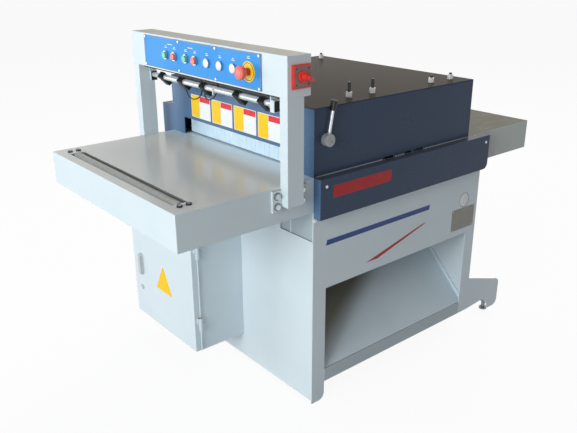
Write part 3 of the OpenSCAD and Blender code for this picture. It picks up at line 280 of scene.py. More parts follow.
@dataclass(frozen=True)
class WorkedSteel:
    """Ground, turned or plated steel: fine tool lines along one direction and a changing gloss.

    The lines are drawn coarser than real ones, which are too fine to show.
    """

    name: str
    colour: str
    shade: str
    roughness: float = 0.3
    line_mm: Point3 = (120.0, 1.2, 1.2)
    line_height: float = 0.08
    metallic: float = 1.0
    dark: str = ""
    dark_from_mm: float = 0.0
    stain_mm: float = 38.0
    line_deep_mm: float = 0.2
    gloss_spread: Point2 = (0.07, 0.09)

    def build(self) -> bpy.types.Material:
        """Makes the material.

        Returns:
            The material.
        """
        material, tree, shader = blank(self.name)
        at = add_node(tree, "ShaderNodeTexCoord").outputs["Object"]
        lengthwise = add_node(tree, "ShaderNodeMapping", {
            "Vector": at, "Scale": tuple(per_metre(size) for size in self.line_mm)})
        lines = add_node(tree, "ShaderNodeTexNoise", {
            "Vector": lengthwise.outputs["Vector"], "Scale": 1.0, "Detail": 5.0, "Roughness": 0.65})
        stains = add_node(tree, "ShaderNodeTexNoise", {
            "Vector": at, "Scale": per_metre(self.stain_mm), "Detail": 5.0, "Roughness": 0.6})
        tone = add_node(tree, "ShaderNodeMath", {
            0: lines.outputs["Fac"], 1: stains.outputs["Fac"]}, operation="MULTIPLY")
        spread = add_node(tree, "ShaderNodeMapRange", {
            "Value": tone.outputs["Value"], "From Min": 0.12, "From Max": 0.42})
        colour = add_node(tree, "ShaderNodeMix", {
            "Factor": spread.outputs["Result"], "A": linear(self.shade), "B": linear(self.colour)},
            data_type="RGBA")
        if self.dark:
            height = add_node(tree, "ShaderNodeSeparateXYZ", {"Vector": at})
            above = add_node(tree, "ShaderNodeMath", {
                0: height.outputs["Z"], 1: self.dark_from_mm * MM}, operation="GREATER_THAN")
            colour = add_node(tree, "ShaderNodeMix", {
                "Factor": above.outputs["Value"], "A": colour.outputs["Result"], "B": linear(self.dark)},
                data_type="RGBA")
        gloss = add_node(tree, "ShaderNodeMapRange", {
            "Value": stains.outputs["Fac"], "From Min": 0.3, "From Max": 0.7,
            "To Min": self.roughness - self.gloss_spread[0],
            "To Max": self.roughness + self.gloss_spread[1]})
        bump = add_node(tree, "ShaderNodeBump", {
            "Strength": self.line_height, "Distance": self.line_deep_mm * MM,
            "Height": lines.outputs["Fac"]})
        tree.links.new(colour.outputs["Result"], shader.inputs["Base Color"])
        tree.links.new(gloss.outputs["Result"], shader.inputs["Roughness"])
        tree.links.new(bump.outputs["Normal"], shader.inputs["Normal"])
        shader.inputs["Metallic"].default_value = self.metallic
        return material


@dataclass(frozen=True)
class Moulded:
    """Moulded plastic or rubber: one colour through, a fine tool texture and greasy patches.

    The texture is drawn coarser than a real one, which is too fine to show.
    """

    name: str
    colour: str
    shade: str
    roughness: float = 0.4
    grain_mm: float = 0.8
    grain_height: float = 0.12
    coat: float = 0.0
    specular: float = 0.3
    patch_mm: float = 14.0
    coat_roughness: float = 0.12
    grain_deep_mm: float = 0.1
    gloss_spread: Point2 = (0.06, 0.1)

    def build(self) -> bpy.types.Material:
        """Makes the material.

        Returns:
            The material.
        """
        material, tree, shader = blank(self.name)
        at = add_node(tree, "ShaderNodeTexCoord").outputs["Object"]
        grain = add_node(tree, "ShaderNodeTexVoronoi", {"Vector": at, "Scale": per_metre(self.grain_mm)})
        patches = add_node(tree, "ShaderNodeTexNoise", {
            "Vector": at, "Scale": per_metre(self.patch_mm), "Detail": 4.0, "Roughness": 0.6})
        colour = add_node(tree, "ShaderNodeMix", {
            "Factor": patches.outputs["Fac"], "A": linear(self.colour), "B": linear(self.shade)},
            data_type="RGBA")
        gloss = add_node(tree, "ShaderNodeMapRange", {
            "Value": patches.outputs["Fac"], "From Min": 0.3, "From Max": 0.7,
            "To Min": self.roughness - self.gloss_spread[0],
            "To Max": self.roughness + self.gloss_spread[1]})
        bump = add_node(tree, "ShaderNodeBump", {
            "Strength": self.grain_height, "Distance": self.grain_deep_mm * MM,
            "Height": grain.outputs["Distance"]})
        tree.links.new(colour.outputs["Result"], shader.inputs["Base Color"])
        tree.links.new(gloss.outputs["Result"], shader.inputs["Roughness"])
        tree.links.new(bump.outputs["Normal"], shader.inputs["Normal"])
        shader.inputs["Specular IOR Level"].default_value = self.specular
        shader.inputs["Coat Weight"].default_value = self.coat
        shader.inputs["Coat Roughness"].default_value = self.coat_roughness
        return material


Finish = PowderCoat | WorkedSteel | Moulded

# Light grey powder coat: bright and slightly blue in front light, with brown dust on top.
BASE_COAT = PowderCoat(
    "powder_coat_light_grey", "#DCE8EE", "#D3E0E7", 0.4, top_colour="#978E7B", top_share=0.85, specular=0.3)
# The same coat inside the base, where chips have scoured it; a brown-grey band of painted shade, partly
# dust, darkens it higher up and towards the front, under the blades.
CHUTE_COAT = PowderCoat(
    "powder_coat_scoured", "#DCECF4", "#CFDEE8", 0.46, top_colour="#C6CAC8", top_share=0.6,
    painted_band_colour="#605D49", painted_band_mm=(208.0, 290.0))
# The rail under the chip opening: a darker copy of the same coat, painted shade on the rail.
RAIL_COAT = PowderCoat("powder_coat_rail_painted_shade", "#C5D2D8", "#B8C5CB", 0.5, top_share=0.3, specular=0.2)
# Plates behind the front panel's notch: flat grey sheets of painted shade, standing in for the shadowed
# recess.
NOTCH_SHADE_COAT = PowderCoat("notch_painted_shade_grey", "#BAC7CE", "#B0BDC4", 0.6, top_share=0.3, specular=0.2)
# Infeed top: ground plate in the coat's frame, with an oily grey gloss and a pale band of painted reflection
# near the hood's mouth.
INFEED_COAT = PowderCoat(
    "powder_coat_and_ground_top", "#DCE8EE", "#D3E0E7", 0.4, top_colour="#D8D9D3", top_share=0.98,
    top_roughness=0.17, top_streak=0.03, specular=0.16, painted_band_colour="#EAF7FF", painted_band_mm=(380.0, 470.0),
    painted_band_share=0.9, painted_band_lean=-1.0)
# Outfeed top: coated sheet rubbed dull and brown by boards.
OUTFEED_COAT = PowderCoat(
    "powder_coat_and_rubbed_top", "#D2D9D6", "#C8CFCB", 0.42, top_colour="#5A553F", top_share=0.95,
    top_roughness=0.45, specular=0.09)
# Dark blue-grey powder coat of the guards: smooth, with painted front light (paler on faces that look to the
# front) and a faint dust on ledges.
GUARD_COAT = PowderCoat(
    "powder_coat_blue_grey", "#3E4E66", "#3A4961", 0.3, peel_height=0.03,
    top_colour="#464548", top_share=0.6, top_roughness=0.32, painted_front_light="#557599", specular=0.16)
# The lid of the hood: the same coat with a brown top that is partly settled wood dust and partly a painted
# reflection of a warm surround, its own sheen nearly gone.
LID_COAT = PowderCoat(
    "powder_coat_lid_dust_and_reflection", "#3E4E66", "#3A4961", 0.3, peel_height=0.03,
    top_colour="#4A4135", top_share=0.95, top_roughness=0.24, top_streak=0.05, specular=0.004)
# Motor housings: brushed-on grey enamel, half matt and dusty.
MOTOR_COAT = PowderCoat("machine_enamel_grey", "#59636B", "#4C555D", 0.5, top_colour="#6C655C")
# Control panel: sheet printed clear blue through a screen, even and satin.
PANEL_COAT = PowderCoat(
    "screen_printed_blue_sheet", "#3D9DEA", "#3491E0", 0.34, peel_mm=1.1, peel_height=0.03, top_share=0.0,
    specular=0.1)
# Bed and blades: ground steel, a soft mirror with fine wheel lines along the feed.
GROUND = WorkedSteel("ground_steel", "#B9BAB7", "#9B9C9A", 0.3, (1.4, 160.0, 1.4))
# Kickback fingers: zinc-plated sheet, pale and a little blue, streaked down their length.
FINGER_STEEL = WorkedSteel(
    "zinc_plated_sheet", "#DCF2FF", "#CDE6F5", 0.4, (2.0, 2.0, 60.0), 0.05, metallic=0.12)
# Laser rod: drawn bright bar, with long pale streaks.
ROD_STEEL = WorkedSteel(
    "drawn_bright_bar", "#DDE2E3", "#C6CCCE", 0.34, (80.0, 3.0, 3.0), 0.05, metallic=0.3)
# Lever: silver stove enamel, an even quiet grey.
LEVER_STEEL = WorkedSteel(
    "silver_stove_enamel", "#B6BBBD", "#9FA5A8", 0.36, (4.0, 4.0, 4.0), 0.06, metallic=0.15)
# Shafts and feed rollers: turned steel, with tool marks round them.
TURNED = WorkedSteel("turned_steel", "#C9CCCB", "#A5A9AA", 0.3, (1.0, 60.0, 60.0))
# Idler roller and its trough: rolled steel that boards have dulled.
ROLLER_STEEL = WorkedSteel(
    "dull_rolled_steel", "#A3A49F", "#8E8F8A", 0.42, (5.0, 120.0, 120.0), 0.02, metallic=0.5)
# Small hardware: zinc plate, bright with cloudy spots.
ZINC = WorkedSteel("bright_zinc_plate", "#C3C6C7", "#A2A5A7", 0.3, (6.0, 6.0, 6.0), 0.05)
# Bolts and handle: satin chrome, pale with soft highlights.
SATIN_CHROME = WorkedSteel(
    "satin_chrome", "#D9DDDE", "#C3C8CA", 0.36, (8.0, 8.0, 8.0), 0.03, metallic=0.7)
# Levelling feet and washers: zinc plate gone grey and dull; on the foot bolts the washers' dark rings are
# partly painted shade round the heads.
DULL_ZINC = WorkedSteel("dull_zinc_plate", "#8D9092", "#737678", 0.4, (5.0, 5.0, 5.0), 0.08)
# Cap screws and pulleys: steel blackened in hot oil, dark with a low sheen.
BLACKENED = WorkedSteel("blackened_steel", "#4A4C4F", "#333539", 0.38, (5.0, 5.0, 5.0), 0.1)
# Bearing housings: sand-cast iron, rough and matt.
CASTING = WorkedSteel("grey_iron_casting", "#63686A", "#4D5254", 0.62, (3.0, 3.0, 3.0), 0.35, metallic=0.8)
# Edging and plate: anodised aluminium, brown-grey with a fine rolled line.
ALUMINIUM = WorkedSteel(
    "anodised_aluminium", "#8B8A84", "#777570", 0.45, (60.0, 60.0, 0.9), metallic=0.35)
# Nuts and studs of the pressure carriages: pale plated nuts below, black studs above them.
NUT_AND_STUD = WorkedSteel(
    "zinc_nuts_and_blackened_studs", "#F4F6F6", "#E6E9E9", 0.4, (6.0, 6.0, 6.0), 0.05, metallic=0.05,
    dark="#1C1D1F", dark_from_mm=1036.4)
# Laser clamps and switchgear: moulded nylon, nearly black with a spark-eroded grain.
BLACK_PLASTIC = Moulded("black_nylon", "#1E2023", "#15171A", 0.42)
# Belts, caps and grommets: moulded rubber, matt and dusty.
RUBBER = Moulded("black_rubber", "#1B1B1C", "#252525", 0.7, 1.6, 0.3)
# Pressure rollers: vulcanised grey rubber, matt.
ROLLER_RUBBER = Moulded("grey_roller_rubber", "#3A3B3D", "#2E2F31", 0.66, 2.0, 0.3)
# Lever knob: pressed phenolic, black and polished.
PHENOLIC = Moulded("black_phenolic", "#0B0B0C", "#111213", 0.2, 2.4, 0.02, 0.0, 0.4)
# Laser leads: extruded PVC, satin black.
CABLE_SKIN = Moulded("pvc_cable_sheath", "#0C0C0D", "#121314", 0.5, 1.2, 0.08)
# Start buttons: moulded polycarbonate, a milky faded green.
GREEN = Moulded("green_polycarbonate", "#5FD0AC", "#4CC29C", 0.3, 1.4, 0.03, 0.1)
# Stop buttons: moulded polycarbonate, a milky faded red.
RED = Moulded("red_polycarbonate", "#FA7B69", "#F26B59", 0.32, 1.4, 0.03, 0.1)
# Isolator and stop stem: moulded ABS, strong red with a gloss.
SIGNAL_RED = Moulded("signal_red_abs", "#EE3F36", "#DE3029", 0.36, 1.2, 0.05, 0.3)
# Stop collar: moulded ABS, warm yellow and satin.
YELLOW = Moulded("yellow_abs", "#FFDC28", "#F2CB1A", 0.38, 1.2, 0.05, 0.05)
# Pilot lamps: opal polycarbonate, white and milky under a gloss.
LENS = Moulded("opal_polycarbonate", "#FBFDFE", "#F1F6F8", 0.25, 1.6, 0.02, 0.6)
# Laser lenses: polished ruby glass, dark with a sharp highlight.
LASER_GLASS = Moulded("ruby_glass", "#5A0D12", "#3C070B", 0.12, 2.0, 0.0, 1.0)
# Wire ducts and relay fronts: moulded ABS, pale grey and satin.
GREY_PLASTIC = Moulded("grey_abs", "#B7BDBF", "#A9AFB2", 0.44)
# Isolator face: smoked polycarbonate, brown-grey with a gloss.
SMOKED_PLASTIC = Moulded("smoked_polycarbonate", "#8E7D78", "#7F6E6A", 0.3, 1.4, 0.03, 0.3)
# Plates, stripes and bands: printed vinyl film, flat and even.
WHITE_VINYL = Moulded("white_vinyl", "#F4F6F6", "#EBEEEE", 0.42, 3.0, 0.03, 0.0, 0.2)
YELLOW_VINYL = Moulded("yellow_vinyl", "#FFD21E", "#F6C514", 0.42, 3.0, 0.03, 0.0, 0.2)
RED_VINYL = Moulded("red_vinyl", "#E63B48", "#D8303D", 0.42, 3.0, 0.03, 0.0, 0.2)
NAVY_VINYL = Moulded("navy_vinyl", "#27478C", "#203C7A", 0.4, 3.0, 0.03, 0.1)
CRIMSON_VINYL = Moulded("crimson_vinyl", "#B5161D", "#A51119", 0.4, 3.0, 0.03, 0.1)
# Pale line under the hood: painted light, standing in for the bright gap between hood and side cover.
PAINTED_GAP_LIGHT = Moulded("pale_gap_light", "#B9C0C4", "#A5ADB2", 0.34, 2.2, 0.1)
# Rod tie and plug: moulded nylon, off-white.
WHITE_NYLON = Moulded("white_nylon", "#F0F1EE", "#E2E3E0", 0.4)

# Printed film: its thickness and its eased edge.
FILM_T = 0.3
FILM_EDGE = 0.08
# Chords in a corner that is too small to need more.
SMALL_STEPS = 3
TINY_STEPS = 2
# An outline drawn in at a sharp corner moves no further than this share lets it.
SHARPEST_SHARE = 0.2


class Sides(IntEnum):
    """Faces round a turned piece, by how large it shows."""

    HEXAGON = 6
    TINY = 16
    SCREW = 20
    CAP = 24
    COLLAR = 28
    LOCK = 36
    RING = 48


class Finishes:
    """Every material of the machine, made once and found by its finish."""

    made: dict[str, bpy.types.Material] = {}

    @classmethod
    def of(cls, finish: Finish) -> bpy.types.Material:
        """Finds or makes a finish's material.

        Args:
            finish: the finish.

        Returns:
            Its material.
        """
        if finish.name not in cls.made:
            cls.made[finish.name] = finish.build()
        return cls.made[finish.name]


class Facing(Enum):
    """The side that a trim piece faces, with the frame's axes for its width and height."""

    FRONT = ((1, 0, 0), (0, 0, 1))
    RIGHT = ((0, 1, 0), (0, 0, 1))
    BACK = ((-1, 0, 0), (0, 0, 1))
    LEFT = ((0, -1, 0), (0, 0, 1))
    UP = ((1, 0, 0), (0, 1, 0))
    DOWN = ((1, 0, 0), (0, -1, 0))

    def at(self, x: float, y: float, z: float) -> Matrix:
        """Place of a piece on that side.

        Args:
            x: millimetres along the frame's X.
            y: millimetres along Y.
            z: millimetres along Z.

        Returns:
            A matrix from the piece's own width, height and depth to the frame.
        """
        width, height = Vector(self.value[0]), Vector(self.value[1])
        rows = Matrix((width, height, width.cross(height))).transposed().to_4x4()
        return Matrix.Translation(Vector((x, y, z)) * MM) @ rows @ Matrix.Scale(MM, 4)


def along(start: Point3, direction: Point3) -> Matrix:
    """Place of a turned piece whose axis runs along a direction.

    Args:
        start: the axis's first point, in millimetres.
        direction: where the axis points.

    Returns:
        A matrix from the piece's own frame, with its axis on Z, to the row frame.
    """
    turn = Vector(direction).to_track_quat("Z", "Y").to_matrix().to_4x4()
    return Matrix.Translation(Vector(start) * MM) @ turn @ Matrix.Scale(MM, 4)


def arc(centre: Point2, radius: float, first: float, last: float, steps: int = 5) -> list[Point2]:
    """Draws points on a circle from one angle to another.

    Args:
        centre: the circle's middle.
        radius: its radius.
        first: the first point's angle in degrees.
        last: the last point's angle in degrees.
        steps: chords from the first point to the last.

    Returns:
        The points in order.
    """
    angles = [math.radians(first + (last - first) * k / steps) for k in range(steps + 1)]
    return [(centre[0] + radius * math.cos(a), centre[1] + radius * math.sin(a)) for a in angles]


def rounded(width: float, height: float, radius: float, steps: int = 5) -> list[Point2]:
    """Outlines a rectangle with round corners about its centre.

    Args:
        width: its whole width.
        height: its whole height.
        radius: the corners' radius.
        steps: chords in each corner.

    Returns:
        The outline, anticlockwise.
    """
    points: list[Point2] = []
    for cx, cy, first in ((1, 1, 0), (-1, 1, 90), (-1, -1, 180), (1, -1, 270)):
        corner = (cx * (width / 2 - radius), cy * (height / 2 - radius))
        points += arc(corner, radius, first, first + 90, steps)
    return points


def slanted(reach: float, rise: float, lean: float) -> list[Point2]:
    """Outlines a stripe about its centre whose ends lean the same way.

    Args:
        reach: half of its whole length.
        rise: half of its height.
        lean: how far each end leans.

    Returns:
        The outline, anticlockwise.
    """
    return [(-reach, -rise), (reach - lean, -rise), (reach, rise), (lean - reach, rise)]


def shrunk(outline: Outline, by: float) -> list[Point2]:
    """Draws an outline in by a distance on every side.

    Args:
        outline: the outline, anticlockwise.
        by: the distance.

    Returns:
        The smaller outline.
    """
    result: list[Point2] = []
    count = len(outline)
    for i, point in enumerate(outline):
        before = (Vector(point) - Vector(outline[i - 1])).normalized()
        after = (Vector(outline[(i + 1) % count]) - Vector(point)).normalized()
        across = Vector((-before.y - after.y, before.x + after.x))
        moved = Vector(point) + across * by / max(across.length_squared / 2, SHARPEST_SHARE)
        result.append((moved.x, moved.y))
    return result


def screw_head(radius: float, height: float) -> list[Point2]:
    """Profile of a low domed screw head with a dimple."""
    return [(radius, 0), (radius, height * 0.35), (radius * 0.82, height * 0.8), (radius * 0.45, height),
            (radius * 0.34, height * 0.55), (0, height * 0.5)]


@dataclass
class Trim:
    """One trim piece's mesh, gathered from plates and turned forms."""

    name: str
    body: str
    mesh: bmesh.types.BMesh = field(default_factory=bmesh.new)
    weld: float = 1e-7
    sharp: float = math.radians(32)

    def bridge(self, low: list[bmesh.types.BMVert], high: list[bmesh.types.BMVert]) -> None:
        """Joins two rings of points with faces; a ring of one point is a tip.

        Args:
            low: the first ring.
            high: the second ring.
        """
        count = max(len(low), len(high))
        for k in range(count):
            j = (k + 1) % count
            corners = [low[k % len(low)], low[j % len(low)], high[j % len(high)], high[k % len(high)]]
            ring = [v for i, v in enumerate(corners) if v not in corners[:i]]
            self.mesh.faces.new(ring)

    def plate(self, outline: Outline, depth: float, place: Matrix, edge: float = 0.0) -> "Trim":
        """Adds a flat plate whose front edge is eased.

        Args:
            outline: anticlockwise points in millimetres.
            depth: thickness in millimetres.
            place: where its back face lies.
            edge: width of the eased edge in millimetres.

        Returns:
            The same trim piece.
        """
        levels = [(outline, 0.0), (outline, depth - edge)]
        if edge:
            levels.append((shrunk(outline, edge), depth))
        rings = [[self.mesh.verts.new(place @ Vector((u, v, z))) for u, v in ring] for ring, z in levels]
        for low, high in zip(rings, rings[1:]):
            self.bridge(low, high)
        self.mesh.faces.new(rings[0][::-1])
        self.mesh.faces.new(rings[-1])
        return self

    def turned(self, profile: Outline, place: Matrix, segments: Sides) -> "Trim":
        """Adds a form turned about its own Z.

        Args:
            profile: radius and height pairs in millimetres; a radius of zero closes an end.
            place: where its axis lies.
            segments: faces round it.

        Returns:
            The same trim piece.
        """
        rings = []
        for radius, height in profile:
            sides = segments if radius else 1
            rings.append([self.mesh.verts.new(place @ Vector((
                radius * math.cos(math.tau * k / segments),
                radius * math.sin(math.tau * k / segments), height))) for k in range(sides)])
        for low, high in zip(rings, rings[1:]):
            self.bridge(low, high)
        return self

    def hoop(self, inner: float, outer: float, depth: float, place: Matrix, edge: float = 0.3) -> "Trim":
        """Adds a flat ring with eased edges and an open middle.

        Args:
            inner: the opening's radius in millimetres.
            outer: the ring's radius.
            depth: its thickness.
            place: where its back face lies.
            edge: width of the eased edges.

        Returns:
            The same trim piece.
        """
        profile = [(inner, 0.0), (outer, 0.0), (outer, depth - edge), (outer - edge, depth),
                   (inner + edge, depth), (inner, depth - edge), (inner, 0.0)]
        return self.turned(profile, place, Sides.RING)

    def made(self, finish: Finish, slot: str) -> bpy.types.Object:
        """Turns the gathered mesh into an object that rides on its body.

        Args:
            finish: its finish.
            slot: a material slot's name; not used.

        Returns:
            The object.
        """
        bmesh.ops.remove_doubles(self.mesh, verts=self.mesh.verts, dist=self.weld)
        bmesh.ops.recalc_face_normals(self.mesh, faces=self.mesh.faces)
        data = bpy.data.meshes.new(self.name)
        self.mesh.to_mesh(data)
        self.mesh.free()
        data.shade_smooth()
        data.set_sharp_from_angle(angle=self.sharp)
        data.materials.append(Finishes.of(finish))
        obj = bpy.data.objects.new(self.name, data)
        bpy.context.scene.collection.objects.link(obj)
        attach(obj, self.body)
        log.info("trim %s on %s", self.name, self.body)
        return obj


@dataclass
class Solids:
    """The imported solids: their finishes and the slight rounding of their edges."""

    edge_mm: float = 0.7
    fine_mm: float = 0.4
    weld_mm: float = 0.01
    flat_deg: float = 0.4
    sharp_deg: float = 40.0
    edge_steps: int = 2
    fine_nodes: frozenset[str] = frozenset({
        "fasteners", "button_bezels", "indicator_lamps", "kickback_fingers", "saw_blades",
        "cabinet_hinges", "switchgear", "stop_collar", "door_handle"})

    def plan(self) -> dict[str, Finish]:
        """Says which finish each node has.

        Returns:
            Node name to finish.
        """
        plan: dict[str, Finish] = {name: BASE_COAT for name in (
            "base_sides", "base_ends", "inner_frame", "gantry_posts", "gantry_beam", "brackets",
            "cabinet_box", "cabinet_hinges", "cabinet_door")}
        plan.update({
            "chip_chute": CHUTE_COAT, "levelling_feet": DULL_ZINC, "bed_plate": GROUND,
            "infeed_table": INFEED_COAT, "outfeed_table": OUTFEED_COAT, "fasteners": SATIN_CHROME,
            "control_panel": PANEL_COAT, "button_bezels": ZINC, "switchgear": BLACK_PLASTIC,
            "indicator_lamps": LENS, "stop_collar": YELLOW, "isolator_plate": SIGNAL_RED,
            "laser_rod": ROD_STEEL, "hood_walls": GUARD_COAT, "hood_top": LID_COAT,
            "side_cover": GUARD_COAT, "drive_guard": GUARD_COAT, "drive_motors": MOTOR_COAT,
            "drive_belts": RUBBER, "bearing_units": CASTING, "idler_roller": ROLLER_STEEL,
            "feed_roller_front": TURNED, "feed_roller_rear": TURNED, "gearmotor_pulley": BLACKENED,
            "saw_arbor": TURNED, "saw_blades": GROUND, "motor_pulley": BLACKENED,
            "pressure_carriage_front": NUT_AND_STUD, "pressure_carriage_rear": NUT_AND_STUD,
            "kickback_fingers": FINGER_STEEL, "lift_lever": LEVER_STEEL, "lever_knob": PHENOLIC,
            "saw_start_button": GREEN, "saw_stop_button": RED, "feed_start_button": GREEN,
            "feed_stop_button": RED, "stop_stem": SIGNAL_RED, "stop_head": RED,
            "isolator_handle": SIGNAL_RED, "door_handle": SATIN_CHROME,
            "laser_lead_2": CABLE_SKIN, "laser_lead_3": CABLE_SKIN})
        plan.update({f"pressure_roller_{i}": ROLLER_RUBBER for i in range(1, 5)})
        plan.update({f"laser_{i}": BLACK_PLASTIC for i in range(1, 6)})
        return plan

    def dress(self) -> None:
        """Gives every node its material and eased edges."""
        plan = self.plan()
        for name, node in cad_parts.items():
            node.data.materials.clear()
            node.data.materials.append(Finishes.of(plan[name]))
            if not name.startswith("laser_lead"):
                self.ease(node, self.fine_mm if name in self.fine_nodes else self.edge_mm)
            log.info("solid %s is %s", name, plan[name].name)

    def ease(self, node: bpy.types.Object, width_mm: float) -> None:
        """Rounds a node's sharp edges a little, as folded and deburred steel has.

        Args:
            node: the node's object.
            width_mm: width of the rounding.
        """
        node.modifiers.new("weld", "WELD").merge_threshold = self.weld_mm * MM
        flat = node.modifiers.new("flat", "DECIMATE")
        flat.decimate_type = "DISSOLVE"
        flat.angle_limit = math.radians(self.flat_deg)
        edge = node.modifiers.new("edge", "BEVEL")
        edge.width = width_mm * MM
        edge.segments = self.edge_steps
        edge.limit_method = "ANGLE"
        edge.angle_limit = math.radians(self.sharp_deg)
        edge.use_clamp_overlap = True
        edge.harden_normals = False
        node.modifiers.new("shading", "WEIGHTED_NORMAL").keep_sharp = True


@dataclass
class LaserLeads:
    """The two thin leads that hang in loops between a laser and the beam."""

    rod_y: float = -418.0
    rod_z: float = 1030.0
    beam_low: float = 1070.0
    diameter: float = 4.0
    fine_steps: int = 6
    grommet_inner: float = 2.3
    grommet_outer: float = 5.0
    grommet_t: float = 1.6
    routes: dict[int, tuple[float, list[Point3]]] = field(default_factory=lambda: {
        2: (-189.6, [(-13, 20, -19), (-18.5, 20, -19), (-24, 23, -23.5), (-26, 28, -33), (-24.5, 32, -45),
                     (-18.5, 33, -55), (-6.5, 33, -61), (9.5, 33, -63.5), (25.5, 33, -61), (41.5, 33, -55.5),
                     (55.5, 32.5, -47), (65.5, 32, -37), (71.5, 31, -26), (74.5, 30, -13), (75.5, 29, 0),
                     (75.5, 27.5, 15), (75.5, 27, 28), (75.5, 27, 40)]),
        3: (-53.0, [(-13, 21, -18), (-20.5, 21, -18), (-27, 20, -23), (-29.5, 19, -31), (-27, 18, -38),
                    (-20, 18, -43), (-9, 18, -45), (3, 18, -44), (15, 18, -40), (25, 19, -33), (33, 20, -24),
                    (38, 22, -13), (41, 24, 0), (42, 25, 14), (42, 26, 28), (42, 26, 40)])})

    def line(self, laser: int) -> list[Vector]:
        """Draws a lead's centreline as a smooth curve through its route.

        Args:
            laser: the laser's number from the left.

        Returns:
            Closely spaced points in metres.
        """
        x, route = self.routes[laser]
        points = [Vector((x + a, self.rod_y + b, self.rod_z + c)) * MM for a, b, c in route]
        ends = [points[0] * 2 - points[1], *points, points[-1] * 2 - points[-2]]
        fine: list[Vector] = []
        for p, q, r, s in zip(ends, ends[1:], ends[2:], ends[3:]):
            for k in range(self.fine_steps):
                t = k / self.fine_steps
                fine.append(0.5 * ((2 * q) + (r - p) * t + (2 * p - 5 * q + 4 * r - s) * t * t
                                   + (3 * q - p - 3 * r + s) * t ** 3))
        return [*fine, points[-1]]

    def tube(self, laser: int, points: list[Vector]) -> bpy.types.Object:
        """Makes a lead's round tube along its centreline.

        Args:
            laser: the laser's number from the left.
            points: the centreline in metres.

        Returns:
            The lead's object.
        """
        curve = bpy.data.curves.new(f"lead_line_{laser}", "CURVE")
        curve.dimensions = "3D"
        curve.bevel_depth = self.diameter / 2 * MM
        curve.bevel_resolution = 3
        curve.use_fill_caps = True
        spline = curve.splines.new("POLY")
        spline.points.add(len(points) - 1)
        for place, point in zip(spline.points, points):
            place.co = (*point, 1.0)
        curve.materials.append(Finishes.of(CABLE_SKIN))
        shape = bpy.data.objects.new(f"lead_shape_{laser}", curve)
        lead = bpy.data.objects.new(f"laser_cable_{laser}", bpy.data.meshes.new_from_object(shape))
        bpy.data.objects.remove(shape)
        bpy.context.scene.collection.objects.link(lead)
        return lead

    def build(self) -> None:
        """Makes both leads and their grommets in the beam."""
        for laser in self.routes:
            points = self.line(laser)
            lead = self.tube(laser, points)
            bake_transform(lead)
            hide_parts(f"laser_lead_{laser}")
            top = points[-1] / MM
            grommet = Trim(f"lead_grommet_{laser}", "frame")
            grommet.hoop(self.grommet_inner, self.grommet_outer, self.grommet_t,
                         Facing.DOWN.at(top.x, top.y, self.beam_low))
            grommet.made(RUBBER, "belt_rubber")


